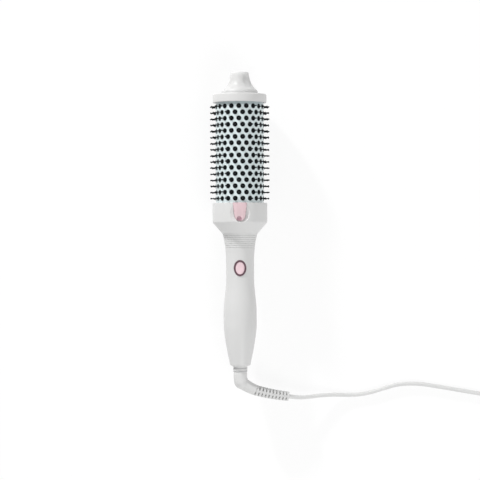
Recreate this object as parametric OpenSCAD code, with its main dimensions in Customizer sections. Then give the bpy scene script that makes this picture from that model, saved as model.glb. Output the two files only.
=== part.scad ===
// Heated round brush with a swivel cord, lying on its bristles.
// The brush axis runs along Y, its cool tip towards +Y and its buttons up.
// Origin: middle of the brush's length, on the surface that it lies on.

/* [Barrel] */
// Outer diameter of the heated barrel
barrel_d = 50; // [40:1:60]
// Wall of the barrel tube
barrel_wall = 1.2; // [0.8:0.1:1.6]
// Length of barrel that shows between the collar and the end cap
head_len = 105; // [100:1:130]
// Depth to which the barrel is let into the collar and the end cap
seat_depth = 3; // [2:0.5:4]

/* [Bristles] */
// Rows of bristles along the barrel
pin_rows = 16; // [8:2:16]
// Distance from the first and last rows to the ends of the barrel that shows
row_margin = 4.5; // [4.5:0.5:8]
// Bristles in each row
pins_per_row = 20; // [10:5:20]
// Height of a bristle above the barrel
pin_reach = 6.3; // [4:0.1:10]
// Width of a bristle across its corners
pin_d = 2; // [1.4:0.1:2.4]
// Turn of the first bristle column away from the button side
pin_phase = 7; // [5:1:13]
// Diameter of the holes that the bristles come through
pin_hole_d = 4.6; // [3:0.1:5.2]
// Strips that the bristles are moulded on
strips = 10; // [5:5:10]
// Thickness of a strip's backing
strip_t = 2.4; // [1.8:0.1:3]

/* [Collar and end cap] */
// Diameter of the collar below the barrel
collar_d = 57.4; // [56:0.2:64]
// Length of the collar's straight part
collar_len = 20.5; // [19:0.5:26]
// Length of the cone between collar and handle
taper_len = 11.5; // [8:0.5:16]
// Diameter of the end cap
cap_d = 56.4; // [55:0.2:62]
// Length of the end cap
cap_len = 9; // [7:0.5:14]

/* [Cool tip] */
// Diameter of the cool tip at its base
tip_base_d = 39.4; // [36:0.2:44]
// Diameter of the cool tip's grip
tip_grip_d = 22.4; // [20:0.2:25]
// Length of the cool tip
tip_len = 23.5; // [20:0.5:32]
// Depth of the finger scoops in the tip
scoop_depth = 3; // [1:0.2:4]

/* [Handle] */
// Length of the handle
handle_len = 139.2; // [130:0.2:170]
// Diameter where the handle meets the cone
neck_d = 37; // [36:0.5:42]
// Smallest diameter, at the power button
waist_d = 29.4; // [28:0.2:32]
// Largest diameter, in the palm
grip_d = 34.8; // [33:0.2:40]
// Diameter at the end of the handle
end_d = 22; // [20:0.2:26]
// Wall of the handle shells
shell_wall = 2.1; // [1.6:0.1:2.4]
// Number of fine grooves round the neck
grooves = 7; // [0:1:9]

/* [Buttons] */
// Width of the power button
power_w = 9.3; // [8:0.1:11]
// Length of the power button
power_l = 12.9; // [11:0.1:15]
// Width of the ring round the power button
bezel_w = 1.9; // [1.2:0.1:2.4]
// Travel of the power button
power_travel = 0.8; // [0.4:0.1:1]
// Width of the release tongue at the collar's edge
tongue_w = 14.8; // [12:0.2:16]
// Length of the release tongue
tongue_l = 19; // [16:0.2:19.4]
// Travel of the release tongue
tongue_travel = 1; // [0.6:0.1:1.1]

/* [Swivel and cord] */
// Diameter of the swivel stub below the handle
stub_d = 14.8; // [13:0.1:16]
// Length of the swivel stub that shows
stub_len = 6.3; // [5:0.1:9]
// Outer diameter of the ribbed cord guard
guard_d = 10; // [8:0.1:11]
// Number of ribs on the cord guard
guard_ribs = 10; // [4:1:12]
// Diameter of the cord
cord_d = 4.4; // [3.8:0.1:5]
// Least gap between the turns of the coiled cord
coil_gap = 0.6; // [0.5:0.05:1]

/* [Hidden] */
$fn = 64;

// General clearances
slip = 0.1; // radial play of a piece that slides into another
gap = 0.3; // room round a piece that moves
run = 0.06; // radial play of the swivel
over = 1; // overlap of a cutting tool

// Stations along the brush axis, from the cord end to the tip
total_len = stub_len + handle_len + taper_len + collar_len + head_len + cap_len + tip_len;
stub_y = -total_len / 2;
handle_y = stub_y + stub_len;
neck_y = handle_y + handle_len;
collar_y = neck_y + taper_len;
head_y = collar_y + collar_len;
cap_y = head_y + head_len;
tip_y = cap_y + cap_len;

// Radii of the head, from the outside in
barrel_r = barrel_d / 2;
barrel_in_r = barrel_r - barrel_wall;
strip_r = barrel_in_r - slip;
sleeve_r = strip_r - strip_t - slip;
sleeve_wall = 1.2;
block_r = sleeve_r - sleeve_wall - slip;
pin_tip_r = barrel_r + pin_reach;
tip_flat = 0.5; // depth to which the lowest bristle tips are flattened
axis_z = pin_tip_r - tip_flat;
collar_r = collar_d / 2;

// Bristle pattern: two interleaved sets of columns
columns = 2 * pins_per_row;
column_pitch = 360 / columns;
strip_columns = columns / strips;
first_row_y = head_y + row_margin;
row_pitch = (head_len - 2 * row_margin) / (pin_rows - 1);
pin_root = 1.2; // depth of a bristle in its backing
strip_split = 0.8; // degrees between two strips

// Stations inside the head
seat_top_y = head_y + 1;
cap_spigot = 3;
strip_y = seat_top_y + slip;
strip_len = cap_y - cap_spigot - slip - strip_y;
block_y = strip_y + 7;
block_len = strip_len - 14;

// Heater stack
stone_t = 2.4;
stone_w = 24;
stone_l = 18;
stones = 4;
plate_t = 0.5;
film_t = 0.2;
stack_t = stone_t + 2 * (plate_t + film_t);
flat_z = stack_t / 2;
plate_w = stone_w;
film_w = stone_w + 1;
stack_len = block_len - 6;
rod_d = 3;
rod_x = block_r - rod_d / 2 - 1.2;
fuse_d = 2.6;
fuse_x = (film_w / 2 + rod_x - rod_d / 2) / 2;

// Handle outline
neck_r = neck_d / 2;
waist_r = waist_d / 2;
grip_r = grip_d / 2;
end_r = end_d / 2;
waist_at = 34;
waist_to = 47;
grip_at = 84;
grip_to = 97;
end_round = 2.8;
end_wall = 3;
groove_pitch = 2.15;
groove_w = 0.8;
groove_depth = 0.35;
groove_at = 1.9;
spigot_len = 8;
spigot_r = neck_r - 2;
hub_r = spigot_r - 3;
hub_in_r = hub_r - 2.5;

// Power button stack, heights above the brush axis
power_y = neck_y - (waist_at + waist_to) / 2 + 4.2;
waist_in_r = waist_r - shell_wall;
board_top = 3.4;
board_t = 1.6;
board_w = 18;
board_from = 38; // distance of the board from the handle's end
board_short = 10; // distance of the board from the neck
board_y0 = handle_y + board_from;
board_y1 = neck_y - board_short;
key_h = 4.2;
power_proud = 0.2;
bezel_proud = 0.5;
flange_lip = 1.1;
flange_t = 1;
power_flange_top = waist_in_r - 2 * flange_t - 2 * gap;

// Release tongue
tongue_t = 1.4;
tongue_r = collar_r + 0.1;
tongue_end_r = 5.6;
tongue_floor_r = tongue_r - tongue_t - tongue_travel - gap;
tongue_y = head_y - tongue_l;
dish_r = 22;
dish_depth = 3.2;
dish_y = head_y - 8.6;
stem_d = 4;
stem_y = head_y - 10;
stem_dip = 2; // depth of the stem in its bore at rest
cavity_r = barrel_in_r - 0.6;
clip_r = 3.6;
clip_t = 1;
clip_top = sqrt(pow(cavity_r, 2) - pow(clip_r, 2)) - gap;
spring_floor = hub_r + 2;

// Swivel
bush_r = stub_d / 2 + 1.4;
rotor_neck_r = stub_d / 2 - 1.4;
rotor_flange_r = rotor_neck_r + 1.6;
spool_r = 3.4;
ring_r = 5;
ring_w = 2.4;
bush_y = handle_y + end_wall;
bush_len = 4;
rotor_flange_y = bush_y + bush_len + gap;
rotor_flange_t = 2;
spool_y = rotor_flange_y + rotor_flange_t;
ring_ys = [spool_y + 1.6, spool_y + 7.2];
spool_len = 11.6;

// Screws
screw_down = 6; // distance of the upper handle screw from the neck
screw_up = 27; // distance of the lower handle screw from the handle's end
screw_ys = [neck_y - screw_down, handle_y + screw_up];
screw_d = 2.6;
screw_head_d = 5;
screw_head_h = 2;
board_screw_in = 6;
board_screw_dip = 4;
board_screw_ys = [board_y0 + board_screw_in, board_y1 - board_screw_in];
board_screw_d = 2;
post_d = 5.4;

// Cord, coil and plug
cord_r = cord_d / 2;
cord_sides = 8;
coil_sides = 6;
coil_rings = 24;
coil_layers = 4;
coil_turns = 9.25;
coil_mid_r = 25.5;
coil_pitch = cord_d + coil_gap;
layer_turns = coil_turns / coil_layers;
coil_in_r = coil_mid_r - layer_turns * coil_pitch / 2;
coil_out_r = coil_mid_r + layer_turns * coil_pitch / 2;
tie_t = 0.8;
tie_w = 9;
tie_gap = 0.8;
coil_z = tie_t + gap + cord_r;
coil_x = 300;
coil_south_y = stub_y - 30.5;
coil_cy = coil_south_y + coil_out_r;
coil_top_z = coil_z + (coil_layers - 1) * coil_pitch;
floor_z = cord_r + 0.1;
plug_w = 25;
plug_h = 15;
plug_l = 26;
plug_relief_l = 18;
plug_z = plug_h / 2;
plug_x = 330;
plug_y = stub_y + 57.5;
blade_w = 6.3;
blade_t = 1.5;
blade_l = 17.5;
blade_pitch = 12.7;

// Points of a route: x, distance from the stub's end and height
function out(x, y, z) = [x, stub_y + y, z];
// Strain relief, from the swivel stub round the elbow to the guard's end
elbow_route = [out(0, 0, axis_z), out(0, -2.7, axis_z), out(0.1, -6.3, axis_z - 0.1),
    out(1.2, -10.5, axis_z - 0.5), out(4.4, -13.3, axis_z - 1), out(9.5, -16.4, axis_z - 1.9),
    out(15.5, -19.3, axis_z - 3)];
elbow_r = [7.1, 7.1, 7.1, 7.6, 6.2, 5.9, 5.4];
guard_route = [out(15.5, -19.3, axis_z - 3), out(26, -22.1, axis_z - 5.4),
    out(38, -24.7, axis_z - 8.6), out(51, -26.7, axis_z - 12.6)];
guard_end = guard_route[3];
guard_way = unit(guard_route[3] - guard_route[2]);
// Free cord, from the guard's end down to the surface and along it to the coil
function sink(f) = floor_z + f * (guard_end[2] - floor_z);
run_route = [guard_end, guard_end + 5 * guard_way, out(65, -28.2, sink(0.72)),
    out(76, -27.5, sink(0.52)), out(88, -26.5, sink(0.33)), out(100, -26.3, sink(0.17)),
    out(112, -26.6, sink(0.05)), out(125, -26.3, floor_z), out(138, -24.1, floor_z),
    out(152, -20.1, floor_z), out(165, -16.4, floor_z), out(178, -14.9, floor_z),
    out(192, -15.3, floor_z), out(206, -17.3, floor_z), out(220, -19.7, floor_z),
    out(240, -23.1, floor_z), out(256, -25.8, floor_z), out(270, -28.1, floor_z + 0.2),
    out(283, -29.8, coil_z - 0.3), [coil_x - 2 * cord_d, coil_south_y, coil_z],
    [coil_x - cord_d, coil_south_y, coil_z]];
// Free cord, from the top of the coil down to the plug
tail_x = coil_x + coil_out_r;
tail_route = [[tail_x, coil_cy + cord_d, coil_top_z], [tail_x, coil_cy + 2 * cord_d, coil_top_z],
    out(331.4, 19.5, coil_top_z - 1.8), out(330.8, 30.5, lerp(plug_z, coil_top_z, 0.5)),
    out(330.3, 41.5, plug_z + 2), [plug_x, plug_y - 2 * cord_d, plug_z], [plug_x, plug_y, plug_z]];

// Small helpers
function unit(v) = v / norm(v);
function ease(a, b, t) = a + (b - a) * (1 - cos(180 * t)) / 2;
function lerp(a, b, t) = a + (b - a) * t;

// Tangent of a route at point i
function tangent(p, i) = unit(p[min(i + 1, len(p) - 1)] - p[max(i - 1, 0)]);
function side_of(t) = unit(cross(t, [0, 0, 1]));

// Solid tube along points p, with radii r and a number of sides
module sweep(p, r, sides) {
    n = len(p);
    points = [for (i = [0 : n - 1])
        let (t = tangent(p, i), s = side_of(t), u = cross(s, t))
        for (k = [0 : sides - 1])
            p[i] + r[i] * (cos(360 * (k + 0.5) / sides) * s + sin(360 * (k + 0.5) / sides) * u)];
    walls = [for (i = [0 : n - 2], k = [0 : sides - 1])
        let (a = i * sides + k, b = i * sides + (k + 1) % sides)
        each [[a, b, b + sides], [a, b + sides, a + sides]]];
    caps = [for (k = [1 : sides - 2]) each [[0, k + 1, k],
        [(n - 1) * sides, (n - 1) * sides + k, (n - 1) * sides + k + 1]]];
    polyhedron(points = points, faces = concat(walls, caps));
}

// Puts a child drawn along Z onto the brush axis, with its top towards the tip
module along_axis() {
    translate([0, 0, axis_z]) rotate([-90, 0, 0]) children();
}

// Turns a child drawn along X to an angle round the axis, 0 facing up
module at_angle(a) {
    rotate([0, 0, a - 90]) children();
}

// Solid of revolution from station, radius pairs
module turned(profile) {
    rotate_extrude() polygon([for (p = profile) [p[1], p[0]]]);
}

module ring(r_out, r_in, y, h) {
    translate([0, 0, y]) rotate_extrude() translate([r_in, 0]) square([r_out - r_in, h]);
}

// Oval outline with width w along X and length l along Y
module oval(w, l) {
    polygon([for (i = [0 : 47]) [w / 2 * sin(7.5 * i), l / 2 * cos(7.5 * i)]]);
}

// Upright post on the brush, heights measured from the axis
module post(d, y, z0, z1, x = 0) {
    translate([x, y, axis_z + z0]) cylinder(d = d, h = z1 - z0, $fn = 32);
}

// Slice of the oval column at the power button between two radii round the axis
module waist_slice(w, l, r_in, r_out) {
    intersection() {
        translate([0, power_y, axis_z]) linear_extrude(collar_r) oval(w, l);
        along_axis() ring(r_out, r_in, power_y - power_l, 2 * power_l);
    }
}

// Cool tip and end cap

function tip_profile() = [[tip_y, 0], [tip_y, tip_base_d / 2], [tip_y + 1, tip_base_d / 2 - 0.2],
    [tip_y + 3.4, lerp(tip_base_d, tip_grip_d, 0.12) / 2],
    [tip_y + 6, lerp(tip_base_d, tip_grip_d, 0.38) / 2],
    [tip_y + 9, lerp(tip_base_d, tip_grip_d, 0.72) / 2], [tip_y + 12.5, tip_grip_d / 2 + 0.6],
    [tip_y + tip_len - 4, tip_grip_d / 2 - 1.1], [tip_y + tip_len - 1.6, tip_grip_d / 2 - 1.5],
    [tip_y + tip_len - 0.4, tip_grip_d / 2 - 2], [tip_y + tip_len, tip_grip_d / 2 - 2.8],
    [tip_y + tip_len, 0]];

scoop_r = 16;
scoop_angles = [75, 195, 315];
tip_spigot_r = 7;
tip_screw_x = 4;
tip_screw_d = 2.2;
tip_screw_len = 9;
cap_floor = 3;

module cool_tip() {
    color([0.95, 0.95, 0.94]) difference() {
        along_axis() union() {
            turned(tip_profile());
            translate([0, 0, tip_y - cap_floor + slip]) cylinder(r = tip_spigot_r, h = cap_floor);
        }
        along_axis() for (a = scoop_angles) at_angle(a)
            translate([tip_grip_d / 2 - scoop_depth + scoop_r, 0, tip_y + tip_len - 5])
                sphere(r = scoop_r, $fn = 64);
        along_axis() for (s = [-1, 1])
            translate([s * tip_screw_x, 0, tip_y - cap_floor - over])
                cylinder(d = tip_screw_d, h = over + tip_screw_len, $fn = 24);
    }
}

module tip_screws() {
    color([0.7, 0.71, 0.72]) along_axis() for (s = [-1, 1])
        translate([s * tip_screw_x, 0, 0]) union() {
            translate([0, 0, tip_y - 2 * cap_floor - 1.6]) cylinder(d = 4.2, h = 1.6, $fn = 32);
            translate([0, 0, tip_y - 2 * cap_floor])
                cylinder(d = tip_screw_d, h = cap_floor + tip_screw_len - 1, $fn = 24);
        }
}

module end_cap() {
    edge = 1;
    color([0.93, 0.93, 0.92]) difference() {
        along_axis() union() {
            turned([[cap_y, 0], [cap_y, cap_d / 2 - edge / 2], [cap_y + edge / 2, cap_d / 2],
                [tip_y - edge, cap_d / 2], [tip_y - edge / 4, cap_d / 2 - edge / 2],
                [tip_y, cap_d / 2 - 1.6 * edge], [tip_y, 0]]);
            translate([0, 0, cap_y - cap_spigot]) cylinder(r = strip_r, h = cap_spigot + over);
        }
        along_axis() {
            // Groove for the barrel's end
            ring(barrel_r + slip, barrel_in_r - slip, cap_y - cap_spigot - over,
                cap_spigot + over + seat_depth + slip);
            // Hollow behind the cap's floor
            translate([0, 0, cap_y - cap_spigot - over])
                cylinder(r = sleeve_r - 6, h = tip_y - 2 * cap_floor - cap_y + cap_spigot + over);
            // Recess for the tip's spigot
            translate([0, 0, tip_y - cap_floor]) cylinder(r = tip_spigot_r + slip, h = cap_floor + over);
            for (s = [-1, 1]) translate([s * tip_screw_x, 0, cap_y])
                cylinder(d = tip_screw_d + 0.4, h = cap_len, $fn = 24);
            // Blind threaded holes for the tie rods
            for (s = [-1, 1]) translate([s * rod_x, 0, cap_y - cap_spigot - over])
                cylinder(d = rod_d + slip, h = rod_end_y + gap - cap_y + cap_spigot + over, $fn = 32);
        }
    }
}

// Barrel and bristles

// Places a child at every bristle of the columns from c0 to c1
module pin_places(c0, c1) {
    for (c = [c0 : c1]) at_angle(pin_phase + c * column_pitch)
        for (k = [0 : pin_rows / 2 - 1])
            translate([0, 0, first_row_y + (2 * k + c % 2) * row_pitch]) children();
}

module barrel() {
    color([0.83, 0.92, 0.92]) along_axis() difference() {
        ring(barrel_r, barrel_in_r, head_y - seat_depth, head_len + 2 * seat_depth);
        pin_places(0, columns - 1) translate([barrel_in_r - over, 0, 0])
            rotate([0, 90, 0]) cylinder(d = pin_hole_d, h = barrel_wall + 2 * over, $fn = 16);
    }
}

module bristle_strip(i) {
    c0 = i * strip_columns;
    c1 = c0 + strip_columns - 1;
    color([0.06, 0.06, 0.07]) difference() {
        along_axis() union() {
            at_angle(pin_phase + (c0 - 0.5) * column_pitch + strip_split / 2)
                translate([0, 0, strip_y])
                    rotate_extrude(angle = strip_columns * column_pitch - strip_split)
                        translate([strip_r - strip_t, 0]) square([strip_t, strip_len]);
            pin_places(c0, c1) translate([strip_r - pin_root, 0, 0]) rotate([0, 90, 0])
                cylinder(d = pin_d, h = pin_tip_r - strip_r + pin_root, $fn = 4);
        }
        // The brush lies on its lowest tips
        translate([-collar_r, stub_y, -collar_r]) cube([collar_d, total_len, collar_r]);
    }
}

// Heater

module inner_sleeve() {
    color([0.78, 0.79, 0.8]) along_axis()
        ring(sleeve_r, sleeve_r - sleeve_wall, strip_y, strip_len);
}

// Half-round aluminium block, hollowed by two ducts
module heat_block(up) {
    duct_d = block_r * 0.55;
    color([0.75, 0.76, 0.78]) along_axis() difference() {
        translate([0, 0, block_y]) cylinder(r = block_r, h = block_len);
        at_angle(up ? 180 : 0) translate([-flat_z, -block_r - over, block_y - over])
            cube([2 * block_r, 2 * (block_r + over), block_len + 2 * over]);
        for (s = [-1, 1]) at_angle(up ? 0 : 180)
            translate([block_r * 0.5, s * block_r * 0.38, block_y - over])
                cylinder(d = duct_d, h = block_len + 2 * over);
    }
}

module flat_bar(w, t, l, y, z) {
    translate([-w / 2, y, axis_z + z - t / 2]) cube([w, l, t]);
}

stack_y = block_y + (block_len - stack_len) / 2;
stone_step = (stack_len - stone_l) / (stones - 1);

module ptc_stones() {
    color([0.25, 0.24, 0.23]) for (i = [0 : stones - 1])
        flat_bar(stone_w, stone_t, stone_l, stack_y + i * stone_step, 0);
}

module electrode_plates() {
    tab_w = 4;
    tab_l = 6;
    color([0.85, 0.72, 0.4]) for (s = [-1, 1]) union() {
        flat_bar(plate_w, plate_t, stack_len, stack_y, s * (stone_t + plate_t) / 2);
        translate([s * lead_x, 0, 0])
            flat_bar(tab_w, plate_t, tab_l, stack_y - tab_l, s * (stone_t + plate_t) / 2);
    }
}

module insulation_film() {
    color([0.75, 0.48, 0.15]) for (s = [-1, 1])
        flat_bar(film_w, film_t, stack_len, stack_y, s * (stack_t - film_t) / 2);
}

sensor_y = block_y + block_len * 0.4;

module thermal_fuse() {
    color([0.55, 0.45, 0.38]) along_axis() translate([fuse_x, 0, sensor_y])
        cylinder(d = fuse_d, h = 10, $fn = 24);
}

module heat_sensor() {
    color([0.35, 0.2, 0.12]) along_axis() translate([-fuse_x, 0, sensor_y]) union() {
        cylinder(d = fuse_d - 0.8, h = 4, $fn = 24);
        translate([0, 0, 4]) cylinder(d = fuse_d, h = 2.4, $fn = 24);
    }
}

rod_head_d = 5.6;
rod_head_h = 2.4;
washer_t = 0.6;
seat_y = head_y - seat_depth - 3;
rod_end_y = tip_y - cap_floor;

module tie_rods() {
    color([0.62, 0.63, 0.65]) along_axis() for (s = [-1, 1]) translate([s * rod_x, 0, 0]) union() {
        translate([0, 0, seat_y - washer_t - rod_head_h])
            cylinder(d = rod_head_d, h = rod_head_h, $fn = 32);
        translate([0, 0, seat_y - washer_t - over])
            cylinder(d = rod_d, h = rod_end_y - seat_y + washer_t + over, $fn = 32);
    }
}

module tie_washers() {
    color([0.7, 0.7, 0.72]) along_axis() for (s = [-1, 1]) translate([s * rod_x, 0, 0])
        ring(rod_head_d / 2 + 0.6, rod_d / 2 + slip, seat_y - washer_t, washer_t);
}

lead_x = 6;
lead_hole_d = 3;

// Heat-resistant seat that carries the barrel, with the hub that the handle clamps
module head_seat() {
    hub_y = neck_y - 2;
    bore_h = 2 * over + seat_top_y - seat_y;
    color([0.2, 0.2, 0.22]) difference() {
        union() {
            along_axis() {
                translate([0, 0, head_y - seat_depth])
                    cylinder(r = strip_r, h = seat_top_y - head_y + seat_depth);
                translate([0, 0, seat_y]) cylinder(r = cavity_r - slip, h = head_y - seat_depth - seat_y);
                translate([0, 0, hub_y]) cylinder(r = hub_r, h = seat_y - hub_y + over);
            }
            // Boss that the release spring stands on
            post(2 * clip_r + 1.6, stem_y, hub_in_r + 0.8, spring_floor);
        }
        along_axis() {
            translate([0, 0, hub_y - over]) cylinder(r = hub_in_r, h = seat_y - hub_y + over);
            // Bores for the leads and the tie rods
            translate([0, 0, seat_y - over]) {
                for (s = [-1, 1]) translate([s * lead_x, 0, 0])
                    cylinder(d = lead_hole_d, h = bore_h, $fn = 32);
                translate([sensor_x, -sensor_z, 0]) cylinder(d = lead_hole_d, h = bore_h, $fn = 32);
                for (s = [-1, 1]) translate([s * rod_x, 0, 0])
                    cylinder(d = rod_d + 2 * slip, h = bore_h, $fn = 32);
            }
        }
        // Blind bore for the tongue's stem, with room for its travel
        post(stem_d + 2 * gap, stem_y, spring_floor - stem_dip - tongue_travel - gap, spring_floor + over);
    }
}

// Collar and release tongue

// Outline of the tongue, grown by g all round
module tongue_outline(g) {
    w = tongue_w / 2 + g;
    r = tongue_end_r + g;
    h = tongue_l - tongue_end_r + 2 * g;
    // Angle at which the straight sides run into the round end
    t = atan2(h, w) - acos(r / norm([w, h]));
    steps = 18;
    translate([0, head_y + 2 * g - h]) polygon(concat([[-w, h], [w, h]],
        [for (i = [0 : steps]) let (a = t - i * (180 + 2 * t) / steps) r * [cos(a), sin(a)]]));
}

module collar() {
    taper_wall = 2.6;
    color([0.93, 0.93, 0.92]) difference() {
        along_axis() turned([[neck_y, 0], [neck_y, neck_r], [neck_y + 0.3, neck_r + 0.3],
            [collar_y - 0.4, collar_r - 0.4], [collar_y + 0.3, collar_r],
            [head_y - 0.5, collar_r], [head_y, collar_r - 0.5], [head_y, 0]]);
        along_axis() {
            // Socket for the handle's spigot
            translate([0, 0, neck_y - over]) cylinder(r = spigot_r + slip, h = spigot_len + over);
            // Hollow behind the cone and the collar
            turned([[neck_y + spigot_len - over, 0],
                [neck_y + spigot_len - over, spigot_r - 1],
                [neck_y + spigot_len, spigot_r - 1],
                [collar_y + taper_wall, cavity_r - taper_wall], [collar_y + taper_wall + 2, cavity_r],
                [head_y - seat_depth + over, cavity_r], [head_y - seat_depth + over, 0]]);
            // Seat for the barrel's end
            translate([0, 0, head_y - seat_depth]) cylinder(r = barrel_r + slip, h = seat_depth + over);
        }
        // Dish round the tongue
        translate([0, dish_y, axis_z + collar_r - dish_depth + dish_r]) sphere(r = dish_r, $fn = 96);
        // Pocket that the tongue moves in, and the hole for its stem
        difference() {
            translate([0, 0, axis_z]) linear_extrude(collar_r + over) tongue_outline(gap);
            along_axis() translate([0, 0, neck_y]) cylinder(r = tongue_floor_r, h = total_len / 2);
        }
        post(stem_d + 2 * gap, stem_y, spring_floor, collar_r);
    }
}

module release_button() {
    spot_at = 4.4;
    spot_r = 6;
    spot_depth = 0.6;
    color([0.9, 0.72, 0.76]) difference() {
        union() {
            intersection() {
                translate([0, 0, axis_z]) linear_extrude(collar_r + over) tongue_outline(0);
                along_axis() ring(tongue_r, tongue_r - tongue_t, tongue_y - over, tongue_l + 2 * over);
            }
            post(stem_d, stem_y, spring_floor - stem_dip, tongue_r - tongue_t / 2);
            post(2 * clip_r, stem_y, clip_top - clip_t, clip_top);
        }
        // Thumb spot near the tongue's round end
        translate([0, tongue_y + spot_at, axis_z + tongue_r - spot_depth + spot_r])
            sphere(r = spot_r, $fn = 48);
    }
}

// Helical spring standing on a flat seat, heights measured from the axis
module coil_spring(y, r, z0, z1, wire, turns) {
    steps = 8;
    n = turns * steps;
    path = [for (i = [0 : n]) [r * cos(360 * i / steps), y + r * sin(360 * i / steps),
        axis_z + z0 + wire / 2 + (z1 - z0 - wire) * i / n]];
    sweep(path, [for (i = [0 : n]) wire / 2], 6);
}

module release_spring() {
    color([0.75, 0.76, 0.78])
        coil_spring(stem_y, stem_d / 2 + 0.8, spring_floor + 0.05, clip_top - clip_t - 0.05, 0.6, 5);
}

// Handle

// Radius of the handle at a distance s below the cone
function handle_r(s) = s < waist_at ? waist_r + (neck_r - waist_r) * pow(1 - s / waist_at, 2.5)
    : s < waist_to ? waist_r
    : s < grip_at ? ease(waist_r, grip_r, (s - waist_to) / (grip_at - waist_to))
    : s < grip_to ? grip_r
    : grip_r - (grip_r - end_r) * pow((s - grip_to) / (handle_len - end_round - grip_to), 1.35);

// Outer line of the handle from the cone to its end, with the grooves of the neck
function groove_line(i) = let (s = groove_at + i * groove_pitch, h = groove_w / 2) [
    [neck_y - s + h, handle_r(s - h)], [neck_y - s + h / 2, handle_r(s) - groove_depth],
    [neck_y - s - h / 2, handle_r(s) - groove_depth], [neck_y - s - h, handle_r(s + h)]];
groove_to = groove_at + grooves * groove_pitch;
body_steps = 22;
body_step = (handle_len - end_round - groove_to) / body_steps;
handle_line = concat([[neck_y, neck_r]], [for (i = [0 : 1 : grooves - 1]) each groove_line(i)],
    [for (i = [0 : body_steps]) [neck_y - groove_to - i * body_step, handle_r(groove_to + i * body_step)]],
    [for (a = [30 : 30 : 90]) [handle_y + end_round * (1 - sin(a)), end_r - end_round * (1 - cos(a))]]);

// Inner line, a wall's thickness inside the outer one
inner_steps = 14;
inner_to = handle_len - end_wall - bush_len;
inner_line = [for (i = [0 : inner_steps]) let (s = spigot_len + i * (inner_to - spigot_len) / inner_steps)
    [neck_y - s, handle_r(s) - shell_wall]];

module handle_half(a) {
    profile = concat([[neck_y + spigot_len - slip, spigot_r], [neck_y, spigot_r]], handle_line,
        [[handle_y, stub_d / 2 + gap], [bush_y, stub_d / 2 + gap], [bush_y, bush_r],
        [bush_y + bush_len, bush_r]],
        [for (i = [0 : inner_steps]) inner_line[inner_steps - i]],
        [[neck_y - 4, hub_r + slip], [neck_y + spigot_len - slip, hub_r + slip]]);
    along_axis() at_angle(a) rotate_extrude(angle = 180) polygon([for (p = profile) [p[1], p[0]]]);
}

// Column from the shell's inner wall to a height, cut off by the handle's outline
module boss(d, y, z0, z1) {
    intersection() {
        post(d, y, z0, z1);
        along_axis() translate([0, 0, y - d])
            cylinder(r = handle_r(neck_y - y) - shell_wall / 2, h = 2 * d);
    }
}

module handle_front() {
    color([0.9, 0.9, 0.89]) difference() {
        union() {
            handle_half(-90);
            for (y = screw_ys) boss(post_d, y, 0, grip_r);
        }
        for (y = screw_ys) post(screw_d, y, -over, handle_r(neck_y - y) - shell_wall - 2);
        translate([0, power_y, axis_z])
            linear_extrude(collar_r) oval(power_w + 2 * bezel_w + slip, power_l + 2 * bezel_w + slip);
    }
}

module handle_rear() {
    color([0.9, 0.9, 0.89]) difference() {
        union() {
            handle_half(90);
            for (y = screw_ys) boss(screw_head_d + 2.4, y, -grip_r, 0);
            for (y = board_screw_ys) boss(post_d, y, -grip_r, board_top - board_t);
        }
        for (y = screw_ys) {
            post(screw_d + 0.4, y, -grip_r - over, over);
            post(screw_head_d + 0.4, y, -grip_r - 2 * over, screw_seat(y));
        }
        for (y = board_screw_ys) post(board_screw_d, y, -board_screw_dip - slip, board_top);
    }
}

function screw_seat(y) = -handle_r(neck_y - y) + 4.5;

module handle_screws() {
    color([0.72, 0.73, 0.75]) for (y = screw_ys) difference() {
        union() {
            post(screw_head_d, y, screw_seat(y) - screw_head_h, screw_seat(y));
            post(screw_d, y, screw_seat(y), handle_r(neck_y - y) - shell_wall - 4);
        }
        // Cross recess
        for (a = [0, 90]) translate([0, y, axis_z + screw_seat(y) - screw_head_h])
            rotate([0, 0, a]) cube([3, 0.7, 2], center = true);
    }
}

// Electronics

module circuit_board() {
    color([0.1, 0.35, 0.2]) difference() {
        translate([-board_w / 2, board_y0, axis_z + board_top - board_t])
            cube([board_w, board_y1 - board_y0, board_t]);
        for (y = board_screw_ys) post(board_screw_d + 0.4, y, 0, grip_r);
    }
}

module board_screws() {
    color([0.72, 0.73, 0.75]) for (y = board_screw_ys) union() {
        post(3.6, y, board_top, board_top + 1.4);
        post(board_screw_d, y, -board_screw_dip, board_top);
    }
}

// Box on the board, from its centre line
module board_box(x, y, w, l, h, up) {
    translate([x - w / 2, y, axis_z + (up ? board_top : board_top - board_t - h)]) cube([w, l, h]);
}

module board_parts() {
    mid_y = (board_y0 + board_y1) / 2;
    color([0.2, 0.2, 0.22]) {
        board_box(-3.5, mid_y - 24, 6, 13, 9, false);
        board_box(4.5, mid_y - 24, 5, 10, 9, false);
        board_box(0, mid_y - 4, 12, 9, 7, false);
        board_box(0, mid_y - 22, 8, 9, 3, true);
        board_box(-5, mid_y - 8, 4, 5, 2, true);
        translate([5, mid_y - 10, axis_z + board_top]) cylinder(d = 6, h = 7, $fn = 32);
    }
}

module key_switch() {
    color([0.15, 0.15, 0.16]) union() {
        translate([-3, power_y - 3, axis_z + board_top]) cube([6, 6, key_h - 0.7]);
        post(3.4, power_y, board_top, board_top + key_h);
    }
}

module power_button() {
    color([0.97, 0.86, 0.89]) union() {
        waist_slice(power_w, power_l, waist_in_r - flange_t - gap, waist_r + power_proud);
        intersection() {
            translate([0, power_y, axis_z]) linear_extrude(collar_r)
                oval(power_w + 2 * flange_lip, power_l + 2 * flange_lip);
            along_axis() ring(waist_in_r - flange_t - gap, power_flange_top - flange_t,
                power_y - power_l, 2 * power_l);
        }
        post(3, power_y, board_top + key_h + power_travel + gap / 2, waist_in_r - flange_t);
    }
}

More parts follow.
